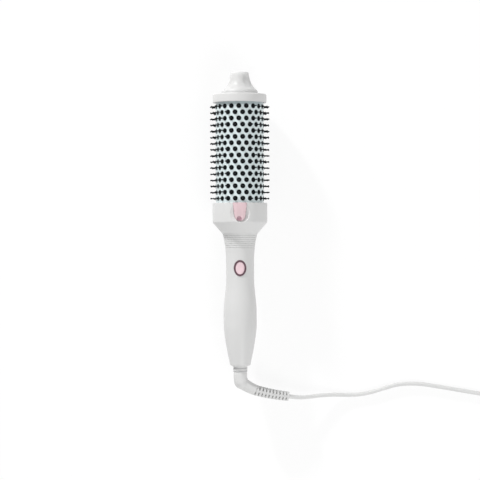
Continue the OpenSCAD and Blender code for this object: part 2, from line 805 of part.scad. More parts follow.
module power_spring() {
    base = board_top + 0.05;
    color([0.75, 0.76, 0.78])
        coil_spring(power_y, 4.9, base, power_flange_top - flange_t - spring_drop, 0.5, 3);
}
spring_drop = waist_in_r - sqrt(pow(waist_in_r, 2) - pow(5.2, 2)) + 0.25;

module button_bezel() {
    w = power_w + 2 * bezel_w;
    l = power_l + 2 * bezel_w;
    color([0.42, 0.28, 0.33]) difference() {
        union() {
            waist_slice(w, l, waist_in_r - flange_t, waist_r + bezel_proud);
            waist_slice(w + 2 * flange_lip, l + 2 * flange_lip, waist_in_r - flange_t,
                waist_in_r - slip / 2);
        }
        translate([0, power_y, axis_z]) linear_extrude(collar_r) oval(power_w + gap, power_l + gap);
    }
}

// Leads inside

sensor_x = -4;
sensor_z = 8;
lead_r = 0.8;
sensor_lead_r = 0.6;
tab_z = stone_t / 2 + plate_t + lead_r;

// Insulated wire along a route
module wire(route, r) {
    sweep(route, [for (p = route) r], 8);
}

module heater_leads() {
    color([0.85, 0.2, 0.15]) for (s = [-1, 1])
        wire([[s * lead_x, stack_y - 4, axis_z + s * tab_z], [s * lead_x, stack_y - 6, axis_z + s * tab_z],
            [s * lead_x, seat_top_y, axis_z], [s * lead_x, seat_y, axis_z],
            [s * lead_x, board_y1 + 8, axis_z + board_top + 0.8],
            [s * lead_x, board_y1 - 3, axis_z + board_top + lead_r]], lead_r);
}

module sensor_leads() {
    board_z = axis_z + board_top + sensor_lead_r;
    color([0.9, 0.85, 0.3])
        wire([[-fuse_x, sensor_y, axis_z], [-fuse_x, block_y - 3, axis_z],
            [-fuse_x + 6, strip_y + 2, axis_z + sensor_z - 2], [sensor_x, seat_top_y, axis_z + sensor_z],
            [sensor_x, seat_y, axis_z + sensor_z], [sensor_x, board_y1 + 4, board_z + 1.4],
            [sensor_x, board_y1 - 2, board_z]], sensor_lead_r);
}

module supply_leads() {
    color([0.15, 0.3, 0.7]) for (s = [-1, 1])
        wire([[s * contact_x, spring_root_y, axis_z + contact_z],
            [s * contact_x, spring_root_y + 2, axis_z + contact_z],
            [s * lead_x, board_y0 - 6, axis_z + board_top + 1],
            [s * lead_x, board_y0 + 3, axis_z + board_top + lead_r]], lead_r);
}

// Swivel

module swivel_bush() {
    color([0.3, 0.3, 0.32]) along_axis()
        ring(bush_r - slip / 2, rotor_neck_r + run, bush_y, bush_len);
}

contact_x = 7;
contact_z = -2;
spring_root_y = spool_y + spool_len + 3;

// Leaf springs that wipe the slip rings, one on each side
module contact_springs() {
    leaf_t = 0.5;
    leaf_w = 2;
    nose_x = ring_r + gap;
    root_x = end_r - 0.6;
    color([0.85, 0.72, 0.4]) for (k = [0, 1]) mirror([k, 0, 0])
        translate([0, 0, axis_z + contact_z - leaf_w / 2]) union() {
            translate([contact_x - leaf_t / 2, ring_ys[k], 0])
                cube([leaf_t, spring_root_y - ring_ys[k], leaf_w]);
            translate([nose_x, ring_ys[k], 0]) cube([contact_x - nose_x, 1.6, leaf_w]);
            translate([contact_x, spring_root_y - 2, 0]) cube([root_x - contact_x, 2, leaf_w]);
        }
}

module slip_rings() {
    color([0.85, 0.7, 0.35]) along_axis() for (y = ring_ys) ring(ring_r, spool_r, y, ring_w);
}

module swivel_rotor() {
    band = 0.5;
    r = stub_d / 2;
    color([0.88, 0.88, 0.87]) along_axis() turned([[stub_y, 0], [stub_y, r - band],
        [stub_y + 1.6, r - band], [stub_y + 1.6, r], [stub_y + 3.6, r], [stub_y + 3.6, r - band],
        [stub_y + 4.8, r - band], [stub_y + 4.8, r], [bush_y - gap, r],
        [bush_y - gap, rotor_neck_r], [rotor_flange_y, rotor_neck_r], [rotor_flange_y, rotor_flange_r],
        [spool_y, rotor_flange_r], [spool_y, spool_r], [spool_y + spool_len, spool_r],
        [spool_y + spool_len, 0]]);
}

// Rubber elbow with a ribbed tail
function route_at(p, u) = let (i = min(floor(u), len(p) - 2)) lerp(p[i], p[i + 1], u - i);
rib_rings = [for (i = [0 : guard_ribs - 1], k = [0 : 3])
    let (u = (i + [0.02, 0.38, 0.5, 0.88][k]) / guard_ribs)
    [route_at(guard_route, u * (len(guard_route) - 1)), k < 2 ? guard_d / 2 - 1.1 : guard_d / 2]];

module strain_relief() {
    route = concat(elbow_route, [for (g = [1 : len(rib_rings) - 1]) rib_rings[g][0]],
        [guard_route[len(guard_route) - 1]]);
    radii = concat(elbow_r, [for (g = [1 : len(rib_rings) - 1]) rib_rings[g][1]], [guard_d / 2]);
    color([0.86, 0.86, 0.85]) sweep(route, radii, 8);
}

// Cord

// Layer that the coil has climbed to after u turns, half a turn to each climb
function climb(u, k) = min(max((u - k * layer_turns) / 0.5 + 0.5, 0), 1);
function level(u) = climb(u, 1) + climb(u, 2) + climb(u, 3);
function coil_r(u) = let (k = floor(min(u / layer_turns, coil_layers - 0.001)), f = u / layer_turns - k)
    k % 2 == 0 ? lerp(coil_out_r, coil_in_r, f) : lerp(coil_in_r, coil_out_r, f);
function coil_point(u) = [coil_x + coil_r(u) * sin(360 * u), coil_cy - coil_r(u) * cos(360 * u),
    coil_z + level(u) * coil_pitch];
coil_n = coil_turns * coil_rings;
coil_path = concat([[coil_x - cord_d, coil_south_y, coil_z]],
    [for (i = [0 : coil_n]) coil_point(i / coil_rings)],
    [[coil_x + coil_out_r, coil_cy + cord_d, coil_top_z]]);
coil_least = min([for (i = [0 : coil_n], j = [i + coil_rings / 2 : 1 : coil_n])
    norm(coil_path[i] - coil_path[j])]) - cord_d;
echo(coil_least_gap_mm = coil_least);  // cord_coil

module cord_run() {
    color([0.9, 0.9, 0.89]) sweep(run_route, [for (p = run_route) cord_r], cord_sides);
}

module cord_coil() {
    color([0.9, 0.9, 0.89]) sweep(coil_path, [for (p = coil_path) cord_r], coil_sides);
}

module cord_tail() {
    color([0.9, 0.9, 0.89]) sweep(tail_route, [for (p = tail_route) cord_r], cord_sides);
}

// Strap round the bundle of turns, on the far side of the coil
module cord_tie() {
    w = coil_out_r - coil_in_r + cord_d + 2 * tie_gap;
    h = coil_top_z - coil_z + cord_d + 2 * gap;
    color([0.2, 0.2, 0.21]) translate([coil_x, coil_cy + coil_mid_r, tie_t + h / 2]) rotate([90, 0, 90])
        linear_extrude(tie_w, center = true) difference() {
            square([w + 2 * tie_t, h + 2 * tie_t], center = true);
            square([w, h], center = true);
        }
}

module plug_body() {
    edge = 2.5;
    color([0.9, 0.9, 0.89]) translate([plug_x, plug_y, plug_z]) union() {
        // Tapered relief
        rotate([-90, 0, 0]) rotate_extrude()
            polygon([[0, 0], [cord_r + 0.6, 0], [cord_r + 2.4, plug_relief_l], [0, plug_relief_l]]);
        // Shoulders and face
        translate([0, plug_relief_l, -plug_h / 2]) linear_extrude(plug_h)
            polygon([[-plug_w / 2 + 2 * edge, 0], [plug_w / 2 - 2 * edge, 0], [plug_w / 2, 3 * edge],
                [plug_w / 2, plug_l], [-plug_w / 2, plug_l], [-plug_w / 2, 3 * edge]]);
    }
}

module plug_blades() {
    color([0.8, 0.78, 0.7]) for (s = [-1, 1])
        translate([plug_x + s * blade_pitch / 2 - blade_t / 2, plug_y + plug_relief_l + plug_l,
            plug_z - blade_w / 2]) cube([blade_t, blade_l, blade_w]);
}

cool_tip();
tip_screws();
end_cap();
barrel();
bristle_strip(0);  // bristle_strip_01
bristle_strip(1);  // bristle_strip_02
bristle_strip(2);  // bristle_strip_03
bristle_strip(3);  // bristle_strip_04
bristle_strip(4);  // bristle_strip_05
bristle_strip(5);  // bristle_strip_06
bristle_strip(6);  // bristle_strip_07
bristle_strip(7);  // bristle_strip_08
bristle_strip(8);  // bristle_strip_09
bristle_strip(9);  // bristle_strip_10
inner_sleeve();
heat_block(true);  // heat_block_upper
heat_block(false);  // heat_block_lower
ptc_stones();
electrode_plates();
insulation_film();
thermal_fuse();
heat_sensor();
tie_rods();
tie_washers();
head_seat();
collar();
release_button();
release_spring();
handle_front();
handle_rear();
handle_screws();
circuit_board();
board_screws();
board_parts();
key_switch();
power_button();
power_spring();
button_bezel();
heater_leads();
sensor_leads();
swivel_bush();
contact_springs();
supply_leads();
slip_rings();
swivel_rotor();
strain_relief();
cord_run();
cord_coil();
cord_tail();
cord_tie();
plug_body();
plug_blades();
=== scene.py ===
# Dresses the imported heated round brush: finished surfaces, its cord, and a plain studio.
# Shapes are worked out in millimetres, and every mesh is stored in metres.
import math

import bmesh
import bpy
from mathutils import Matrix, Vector


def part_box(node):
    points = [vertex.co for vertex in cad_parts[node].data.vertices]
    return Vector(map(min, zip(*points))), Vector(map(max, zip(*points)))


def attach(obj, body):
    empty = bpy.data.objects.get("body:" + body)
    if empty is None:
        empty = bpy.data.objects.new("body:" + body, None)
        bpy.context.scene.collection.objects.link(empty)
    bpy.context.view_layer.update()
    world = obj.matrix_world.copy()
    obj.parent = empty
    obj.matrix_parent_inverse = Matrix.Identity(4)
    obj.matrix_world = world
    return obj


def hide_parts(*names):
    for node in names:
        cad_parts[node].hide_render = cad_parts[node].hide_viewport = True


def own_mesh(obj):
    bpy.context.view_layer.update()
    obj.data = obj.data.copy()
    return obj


bl_info = {
    "name": "Heated round brush",
    "version": (1, 0, 0),
    "blender": (4, 5, 0),
    "location": "3D View > Sidebar > Round brush",
    "description": "Dresses a heated round brush with bristles, shells, buttons and cord",
    "category": "Object",
}

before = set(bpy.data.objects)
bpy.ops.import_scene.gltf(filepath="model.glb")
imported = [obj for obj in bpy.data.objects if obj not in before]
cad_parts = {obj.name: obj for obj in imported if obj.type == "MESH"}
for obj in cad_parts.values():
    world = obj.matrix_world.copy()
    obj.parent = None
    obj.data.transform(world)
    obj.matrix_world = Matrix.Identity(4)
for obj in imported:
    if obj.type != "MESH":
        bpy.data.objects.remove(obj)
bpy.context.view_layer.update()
MM = 0.001

# Stations along the brush axis, in millimetres, and the height of that axis
STUB_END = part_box("swivel_rotor")[0].y / MM
HANDLE_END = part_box("handle_front")[0].y / MM
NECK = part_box("collar")[0].y / MM
CONE_TOP = NECK + 11.5
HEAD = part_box("collar")[1].y / MM
CAP = HEAD + 105
TIP = CAP + 9
TIP_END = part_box("cool_tip")[1].y / MM
BARREL_LOW, BARREL_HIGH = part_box("barrel")
AXIS_Z = (BARREL_LOW.z + BARREL_HIGH.z) / 2 / MM
BARREL_R = (BARREL_HIGH.x - BARREL_LOW.x) / 2 / MM

# Bristle pattern, as on the barrel
COLUMNS = 40
ROWS_PER_COLUMN = 8
STRIPS = 10
PHASE = math.radians(7)
FIRST_ROW = HEAD + 4.5
ROW_PITCH = 6.4
STRIP_R = 23.7
STRIP_T = 2.4

# Handle outline: stations from the neck, and radii
NECK_R, WAIST_R, GRIP_R, END_R = 18.5, 14.7, 17.4, 11.0
WAIST_AT, WAIST_TO, GRIP_AT, GRIP_TO = 34, 47, 84, 97
HANDLE_LEN = NECK - HANDLE_END
END_ROUND = 2.8
WALL = 2.1
COLLAR_R = 28.7
CAP_R = 28.2
SEAT_R = 25.1

# Release tongue: length, half width at the collar's edge, radius of its round end, outer radius,
# its stem's place, and the floor and side gap of the pocket that it moves in
TONGUE_LEN, TONGUE_HALF, TONGUE_END, TONGUE_R = 19.0, 7.4, 5.6, 28.8
STEM_Y = HEAD - 10
POCKET_R, POCKET_GAP = 26.1, 0.3

# Cool tip: radius of its foot in the cap, and the three balls that scoop out its grip
TIP_FOOT_R = 7.0
SCOOPS = [math.radians(a) for a in (35, 155, 275)]
SCOOP_R, SCOOP_Y = 16.0, TIP_END - 5
SCOOP_REACH = 11.2 - 1.4 + SCOOP_R

# Middle of the power button, on the handle's waist
POWER_Y = NECK - (WAIST_AT + WAIST_TO) / 2 + 4.2

# Angle, in degrees, past which an edge of a finished piece stays sharp
SHARP = 35.0
# Distance, in metres, within which two points of a mesh are one
MERGE = 1e-6

# Camera, in metres and degrees: its place over the brush, its view, and its slight turn
CAMERA_AT = (0.0, -0.0189, 1.981)
CAMERA_VIEW, CAMERA_TURN = 14.73, -0.15


# Property groups

class RoundBrushSizes(bpy.types.PropertyGroup):
    """Sizes of the details that the finished surfaces add"""
    foot_width: bpy.props.FloatProperty(
        name="Foot width", description="Width of the round foot of a bristle",
        default=0.0052, min=0.003, max=0.0056, unit="LENGTH")
    foot_height: bpy.props.FloatProperty(
        name="Foot height", description="Height of a bristle's foot above the barrel",
        default=0.0003, min=0, max=0.002, unit="LENGTH")
    pin_reach: bpy.props.FloatProperty(
        name="Bristle reach", description="Height of a bristle above the barrel",
        default=0.0063, min=0.003, max=0.01, unit="LENGTH")
    pin_width: bpy.props.FloatProperty(
        name="Bristle width", description="Width of a bristle at its foot",
        default=0.0013, min=0.0008, max=0.0024, unit="LENGTH")
    ball_width: bpy.props.FloatProperty(
        name="Ball width", description="Width of the ball on a bristle's end",
        default=0.0017, min=0.001, max=0.003, unit="LENGTH")
    pin_lean: bpy.props.FloatProperty(
        name="Bristle lean", description="Most that a bristle leans from upright",
        default=0.05, min=0, max=0.3, subtype="ANGLE")
    lip_width: bpy.props.FloatProperty(
        name="Lip width", description="Width of the rolled edge round a perforation",
        default=0.0004, min=0.0001, max=0.001, unit="LENGTH")
    edge_round: bpy.props.FloatProperty(
        name="Edge rounding", description="Rounding on the edges of the buttons and shells",
        default=0.0004, min=0, max=0.001, unit="LENGTH")
    groove_depth: bpy.props.FloatProperty(
        name="Groove depth", description="Depth of the fine grooves round the neck",
        default=0.0006, min=0, max=0.001, unit="LENGTH")
    cord_width: bpy.props.FloatProperty(
        name="Cord width", description="Diameter of the cord",
        default=0.0044, min=0.003, max=0.006, unit="LENGTH")
    guard_start: bpy.props.FloatProperty(
        name="Guard width at the elbow", description="Width of the slotted cord guard at the elbow",
        default=0.0112, min=0.008, max=0.014, unit="LENGTH")
    guard_end: bpy.props.FloatProperty(
        name="Guard width at the cord", description="Width of the slotted cord guard at the cord",
        default=0.0100, min=0.006, max=0.012, unit="LENGTH")
    guard_ribs: bpy.props.IntProperty(
        name="Guard ribs", description="Number of ribs on the cord guard", default=10, min=4, max=14)


class RoundBrushColours(bpy.types.PropertyGroup):
    """Colours of the finishes"""
    shell: bpy.props.FloatVectorProperty(
        name="Shells", description="White plastic of handle and collar",
        default=(0.76, 0.76, 0.755), min=0, max=1, subtype="COLOR")
    cap: bpy.props.FloatVectorProperty(
        name="End cap", description="White plastic of the end cap",
        default=(0.77, 0.768, 0.762), min=0, max=1, subtype="COLOR")
    tip: bpy.props.FloatVectorProperty(
        name="Cool tip", description="White plastic of the finger grip",
        default=(0.72, 0.72, 0.715), min=0, max=1, subtype="COLOR")
    ceramic: bpy.props.FloatVectorProperty(
        name="Ceramic coat", description="Pale coat of the barrel",
        default=(0.785, 0.885, 0.9), min=0, max=1, subtype="COLOR")
    bristle: bpy.props.FloatVectorProperty(
        name="Bristles", description="Black nylon of the bristles",
        default=(0.004, 0.005, 0.006), min=0, max=1, subtype="COLOR")
    button: bpy.props.FloatVectorProperty(
        name="Power button", description="Pink of the power button",
        default=(0.93, 0.70, 0.75), min=0, max=1, subtype="COLOR")
    tongue: bpy.props.FloatVectorProperty(
        name="Release tongue", description="Pink of the release tongue",
        default=(0.82, 0.61, 0.645), min=0, max=1, subtype="COLOR")
    bezel: bpy.props.FloatVectorProperty(
        name="Bezel", description="Dark mauve ring round the power button",
        default=(0.11, 0.045, 0.065), min=0, max=1, subtype="COLOR")
    cord: bpy.props.FloatVectorProperty(
        name="Cord", description="White vinyl of the cord and its guards",
        default=(0.785, 0.785, 0.78), min=0, max=1, subtype="COLOR")


class RoundBrushStage(bpy.types.PropertyGroup):
    """Studio round the brush"""
    key_power: bpy.props.FloatProperty(
        name="Key lamp", description="Power of the lamp beyond the tip, on the left",
        default=40.0, min=0, unit="POWER")
    fill_power: bpy.props.FloatProperty(
        name="Fill lamp", description="Power of the large lamp at the cord's end",
        default=24.0, min=0, unit="POWER")
    ambient: bpy.props.FloatProperty(
        name="Ambient level", description="Light that comes from all round",
        default=0.45, min=0, max=2)
    floor: bpy.props.FloatVectorProperty(
        name="Floor", description="Colour of the floor",
        default=(0.93, 0.93, 0.93), min=0, max=1, subtype="COLOR")


# Node trees

class Net:
    """Adds nodes to a tree, and sets or links their inputs"""

    def __init__(self, tree):
        self.tree = tree

    def node(self, kind, values=None, **settings):
        made = self.tree.nodes.new(kind)
        for key, value in settings.items():
            setattr(made, key, value)
        for key, value in (values or {}).items():
            self.put(made.inputs[key], value)
        return made

    def put(self, socket, value):
        if isinstance(value, bpy.types.NodeSocket):
            self.tree.links.new(value, socket)
        else:
            socket.default_value = value

    def math(self, operation, *values):
        made = self.tree.nodes.new("ShaderNodeMath")
        made.operation = operation
        for socket, value in zip(made.inputs, values):
            self.put(socket, value)
        return made.outputs[0]

    def vector(self, x=0.0, y=0.0, z=0.0):
        return self.node("ShaderNodeCombineXYZ", {"X": x, "Y": y, "Z": z}).outputs[0]

    def mix(self, factor, a, b):
        made = self.node("ShaderNodeMix", data_type="RGBA")
        self.put(made.inputs[0], factor)
        self.put(made.inputs[6], a)
        self.put(made.inputs[7], b)
        return made.outputs[2]


def new_group(kind, name, inputs, outputs):
    """Node group with named sockets, its net, and its input and output sockets"""
    tree = bpy.data.node_groups.new(name, kind)
    for label, socket, value in inputs:
        made = tree.interface.new_socket(name=label, in_out="INPUT", socket_type=socket)
        if value is not None:
            made.default_value = value
    for label, socket in outputs:
        tree.interface.new_socket(name=label, in_out="OUTPUT", socket_type=socket)
    net = Net(tree)
    return tree, net, net.node("NodeGroupInput").outputs, net.node("NodeGroupOutput").inputs


FLOAT, COLOUR, VECTOR = "NodeSocketFloat", "NodeSocketColor", "NodeSocketVector"
GEOMETRY, INTEGER, MATERIAL = "NodeSocketGeometry", "NodeSocketInt", "NodeSocketMaterial"


def noise(net, vector, scale, detail=2.0, roughness=0.5):
    return net.node("ShaderNodeTexNoise", {
        "Vector": vector, "Scale": scale, "Detail": detail, "Roughness": roughness}).outputs["Fac"]


def grain_group():
    """Moulded surface: a slight drift in tone, a fine spark-eroded grain, and its roughness"""
    tree, net, given, out = new_group("ShaderNodeTree", "Moulded grain", [
        ("Vector", VECTOR, None), ("Colour", COLOUR, (0.8, 0.8, 0.8, 1)),
        ("Shade", COLOUR, (0.7, 0.7, 0.7, 1)),
        ("Roughness", FLOAT, 0.4), ("Spread", FLOAT, 0.08), ("Grain scale", FLOAT, 2400.0)],
        [("Colour", COLOUR), ("Roughness", FLOAT), ("Height", FLOAT)])
    drift = noise(net, given["Vector"], 22.0, 3.0)
    fine = noise(net, given["Vector"], given["Grain scale"], 2.0, 0.6)
    smudge = noise(net, given["Vector"], 140.0, 4.0, 0.65)
    shade = net.math("MULTIPLY", net.math("SUBTRACT", drift, 0.35), 0.6)
    net.put(out["Colour"], net.mix(net.math("ADD", shade, net.math("MULTIPLY", fine, 0.12)),
                                   given["Colour"], given["Shade"]))
    swing = net.math("MULTIPLY", net.math("SUBTRACT", smudge, 0.5), given["Spread"])
    net.put(out["Roughness"], net.math("ADD", given["Roughness"], net.math("MULTIPLY", swing, 2.0)))
    net.put(out["Height"], net.math("ADD", fine, net.math("MULTIPLY", smudge, 0.4)))
    return tree


def fleck_group():
    """Fired ceramic: fine pearly flecks over a soft cloud of tone"""
    tree, net, given, out = new_group("ShaderNodeTree", "Ceramic fleck", [
        ("Vector", VECTOR, None), ("Colour", COLOUR, (0.8, 0.9, 0.9, 1)),
        ("Fleck", COLOUR, (0.95, 0.97, 0.97, 1)),
        ("Roughness", FLOAT, 0.25), ("Fleck scale", FLOAT, 1500.0)],
        [("Colour", COLOUR), ("Roughness", FLOAT), ("Height", FLOAT)])
    cells = net.node("ShaderNodeTexVoronoi", {"Vector": given["Vector"], "Scale": given["Fleck scale"]})
    spots = net.math("LESS_THAN", cells.outputs["Distance"], 0.32)
    cloud = noise(net, given["Vector"], 60.0, 4.0, 0.6)
    share = net.math("ADD", net.math("MULTIPLY", spots, 0.35), net.math("MULTIPLY", cloud, 0.25))
    net.put(out["Colour"], net.mix(share, given["Colour"], given["Fleck"]))
    net.put(out["Roughness"], net.math("ADD", given["Roughness"], net.math("MULTIPLY", cloud, 0.12)))
    net.put(out["Height"], net.math("ADD", net.math("MULTIPLY", spots, 0.3), cloud))
    return tree


def streak_group():
    """Drawn or turned metal: fine lines along one axis, with duller patches"""
    tree, net, given, out = new_group("ShaderNodeTree", "Metal streaks", [
        ("Vector", VECTOR, None), ("Colour", COLOUR, (0.7, 0.7, 0.7, 1)),
        ("Dull", COLOUR, (0.5, 0.5, 0.5, 1)),
        ("Roughness", FLOAT, 0.3), ("Along", VECTOR, (1, 0.05, 1)), ("Line scale", FLOAT, 3000.0)],
        [("Colour", COLOUR), ("Roughness", FLOAT), ("Height", FLOAT)])
    stretched = net.node("ShaderNodeVectorMath", operation="MULTIPLY")
    net.put(stretched.inputs[0], given["Vector"])
    net.put(stretched.inputs[1], given["Along"])
    lines = noise(net, stretched.outputs[0], given["Line scale"], 3.0, 0.7)
    patch = noise(net, given["Vector"], 90.0, 3.0, 0.6)
    net.put(out["Colour"], net.mix(net.math("MULTIPLY", net.math("ADD", lines, patch), 0.4),
                                   given["Colour"], given["Dull"]))
    net.put(out["Roughness"], net.math("ADD", given["Roughness"], net.math("MULTIPLY", patch, 0.2)))
    net.put(out["Height"], lines)
    return tree


def spot_group():
    """Soft-edged round spot: 1 within a radius of a centre"""
    tree, net, given, out = new_group("ShaderNodeTree", "Spot", [
        ("Vector", VECTOR, None), ("Centre", VECTOR, (0, 0, 0)), ("Radius", FLOAT, 0.002),
        ("Edge", FLOAT, 0.0005)], [("Mask", FLOAT)])
    away = net.node("ShaderNodeVectorMath", operation="DISTANCE")
    net.put(away.inputs[0], given["Vector"])
    net.put(away.inputs[1], given["Centre"])
    inside = net.math("DIVIDE", net.math("SUBTRACT", given["Radius"], away.outputs["Value"]), given["Edge"])
    net.put(out["Mask"], net.math("MINIMUM", net.math("MAXIMUM", inside, 0.0), 1.0))
    return tree


GROUPS = {}


def finish_of(name, kind, colour, shade=None, roughness=0.4, bump=0.02, metallic=0.0, coat=0.0,
              coat_roughness=0.1, sheen=0.0, specular=0.5, depth=0.0, extra=None, spots=(), band=None):
    """Material from one of the shared effects and a Principled shader of its own.

    Depth is how much light soaks in. Each spot is a centre, a radius and a tint. The band is a
    start along the brush, the width of its edge and a tint, and runs on to the tip."""
    made = bpy.data.materials.new(name)
    made.use_nodes = True
    made.node_tree.nodes.clear()
    net = Net(made.node_tree)
    place = net.node("ShaderNodeTexCoord").outputs["Object"]
    second = shade or [c * 0.9 for c in colour[:3]]
    keys = {"grain": ("Colour", "Shade"), "fleck": ("Colour", "Fleck"), "streak": ("Colour", "Dull")}[kind]
    effect = net.node("ShaderNodeGroup", node_tree=GROUPS[kind])
    net.put(effect.inputs["Vector"], place)
    net.put(effect.inputs[keys[0]], (*colour[:3], 1))
    net.put(effect.inputs[keys[1]], (*second[:3], 1))
    net.put(effect.inputs["Roughness"], roughness)
    for key, value in (extra or {}).items():
        net.put(effect.inputs[key], value)
    base = effect.outputs["Colour"]
    for centre, radius, tint in spots:
        mask = net.node("ShaderNodeGroup", {"Vector": place, "Centre": centre, "Radius": radius},
                        node_tree=GROUPS["spot"])
        base = net.mix(mask.outputs["Mask"], base, (*tint, 1))
    # The band paints shade: its tint darkens the surface from its start on to the tip
    if band:
        start, edge, tint = band
        station = net.node("ShaderNodeSeparateXYZ", {"Vector": place}).outputs["Y"]
        inside = net.math("DIVIDE", net.math("SUBTRACT", station, start), edge)
        share = net.math("MINIMUM", net.math("MAXIMUM", inside, 0.0), 1.0)
        base = net.mix(share, base, (*tint, 1))
    relief = net.node("ShaderNodeBump", {
        "Strength": min(1.0, bump * 10), "Distance": 0.0001, "Height": effect.outputs["Height"]})
    shader = net.node("ShaderNodeBsdfPrincipled", {
        "Base Color": base, "Roughness": effect.outputs["Roughness"],
        "Normal": relief.outputs["Normal"], "Metallic": metallic, "Coat Weight": coat,
        "Coat Roughness": coat_roughness, "Sheen Weight": sheen, "Specular IOR Level": specular,
        "Subsurface Weight": depth, "Subsurface Radius": (1, 1, 1), "Subsurface Scale": 0.01})
    net.node("ShaderNodeOutputMaterial", {"Surface": shader.outputs[0]})
    made.diffuse_color = (*colour[:3], 1)
    return made


FINISHES = {}


def make_finishes(colours):
    """Every finish of the brush, by the name of its slot in the record"""
    GROUPS.update(grain=grain_group(), fleck=fleck_group(), streak=streak_group(), spot=spot_group())
    # Painted shade on the tongue, dark mauve spots in its dimple and its two notches where shade
    # falls: across, below the collar's edge, above the axis, and radius
    mauve = (0.42, 0.24, 0.29)
    recess_shade_spots = [((x * MM, (HEAD - y) * MM, (AXIS_Z + z) * MM), radius, mauve) for x, y, z, radius in (
        (-0.8, 16.9, 28, 0.003), (-6.1, 9.4, 28.6, 0.0009), (6.1, 9.4, 28.6, 0.0009))]
    shell_shade = [c * 0.96 for c in colours.shell]
    recipes = {
        "tip_white": dict(kind="grain", colour=colours.tip, shade=[c * 0.97 for c in colours.tip],
                          roughness=0.45, bump=0.012, depth=0.8),
        "cap_white": dict(kind="grain", colour=colours.cap, shade=[c * 0.97 for c in colours.cap],
                          roughness=0.42, bump=0.01, specular=0.35),
        "handle_white": dict(kind="grain", colour=colours.shell, shade=shell_shade,
                             roughness=0.42, bump=0.015, coat=0.08, coat_roughness=0.3),
        # The ceramic's band is painted shade, the cap's shadow on the barrel just below the cap
        "ceramic_coat": dict(kind="fleck", colour=colours.ceramic, shade=(0.84, 0.92, 0.93),
                             roughness=0.22, bump=0.01, coat=0.5, coat_roughness=0.08,
                             band=((CAP - 3.4) * MM, 0.0006, (0.42, 0.5, 0.52))),
        "plain_aluminium": dict(kind="streak", colour=(0.55, 0.56, 0.58), shade=(0.4, 0.41, 0.43),
                                roughness=0.32, metallic=1.0),
        "ptc_ceramic": dict(kind="grain", colour=(0.045, 0.042, 0.04), shade=(0.09, 0.085, 0.08),
                            roughness=0.75, bump=0.05),
        "contact_brass": dict(kind="streak", colour=(0.62, 0.42, 0.13), shade=(0.42, 0.27, 0.09),
                              roughness=0.28, metallic=1.0),
        "film_amber": dict(kind="grain", colour=(0.48, 0.19, 0.02), shade=(0.36, 0.12, 0.01),
                           roughness=0.25, bump=0.01, coat=0.3),
        "fuse_body": dict(kind="grain", colour=(0.22, 0.14, 0.09), shade=(0.3, 0.2, 0.12),
                          roughness=0.55),
        "steel": dict(kind="streak", colour=(0.5, 0.51, 0.53), shade=(0.34, 0.35, 0.37),
                      roughness=0.3, metallic=1.0, extra={"Line scale": 1800.0}),
        "seat_dark": dict(kind="grain", colour=(0.024, 0.024, 0.027), shade=(0.04, 0.04, 0.045),
                          roughness=0.6, bump=0.04),
        "board_green": dict(kind="grain", colour=(0.012, 0.09, 0.03), shade=(0.02, 0.14, 0.05),
                            roughness=0.3, coat=0.4),
        "part_black": dict(kind="grain", colour=(0.015, 0.015, 0.017), shade=(0.03, 0.03, 0.033),
                           roughness=0.45, bump=0.03),
        "bezel_mauve": dict(kind="grain", colour=colours.bezel, shade=[c * 1.3 for c in colours.bezel],
                            roughness=0.28, bump=0.008, coat=0.4),
        "button_pink": dict(kind="grain", colour=colours.button, shade=[c * 0.96 for c in colours.button],
                            roughness=0.3, bump=0.008, coat=0.3),
        # The tongue's spots are painted shade in its dimple and its two notches
        "tongue_pink": dict(kind="grain", colour=colours.tongue, shade=[c * 0.94 for c in colours.tongue],
                            roughness=0.33, bump=0.01, coat=0.25, spots=recess_shade_spots),
        "wire_red": dict(kind="grain", colour=(0.5, 0.02, 0.012), roughness=0.5, sheen=0.1),
        "wire_yellow": dict(kind="grain", colour=(0.68, 0.5, 0.04), roughness=0.5, sheen=0.1),
        "wire_blue": dict(kind="grain", colour=(0.012, 0.045, 0.32), roughness=0.5, sheen=0.1),
        "bristle_black": dict(kind="grain", colour=colours.bristle, shade=[c * 2 for c in colours.bristle],
                              roughness=0.35, bump=0.01, specular=0.08),
        "cord_white": dict(kind="grain", colour=colours.cord, shade=[c * 0.94 for c in colours.cord],
                           roughness=0.48, bump=0.03, extra={"Grain scale": 1600.0}),
        "tie_dark": dict(kind="streak", colour=(0.02, 0.02, 0.023), shade=(0.05, 0.05, 0.055),
                         roughness=0.8, bump=0.1, sheen=0.4, extra={"Line scale": 1500.0}),
        "plug_white": dict(kind="grain", colour=colours.cord, shade=[c * 0.95 for c in colours.cord],
                           roughness=0.4, bump=0.02),
        "blade_metal": dict(kind="streak", colour=(0.58, 0.55, 0.47), shade=(0.42, 0.4, 0.34),
                            roughness=0.25, metallic=1.0),
    }
    for slot, recipe in recipes.items():
        FINISHES[slot] = finish_of(slot.replace("_", " ").capitalize(), **recipe)
    FINISHES["seal_grey"] = finish_of("Seal grey", "grain", (0.58, 0.58, 0.585), roughness=0.6, bump=0.03)


# Mesh helpers

def to_metres(point):
    return (point[0] * MM, point[1] * MM, point[2] * MM)


def new_piece(name, points, faces, finish):
    """Object from points in millimetres, with its faces turned outwards"""
    mesh = bpy.data.meshes.new(name)
    mesh.from_pydata([to_metres(p) for p in points], [], faces)
    mesh.update()
    return link_piece(name, mesh, finish)


def link_piece(name, mesh, finish):
    made = bpy.data.objects.new(name, mesh)
    bpy.context.scene.collection.objects.link(made)
    if finish:
        mesh.materials.clear()
        mesh.materials.append(FINISHES[finish])
    return made


def recalc(mesh):
    """Merges doubles and turns the faces outwards"""
    work = bmesh.new()
    work.from_mesh(mesh)
    bmesh.ops.remove_doubles(work, verts=work.verts, dist=MERGE)
    bmesh.ops.recalc_face_normals(work, faces=work.faces)
    work.to_mesh(mesh)
    work.free()
    mesh.update()


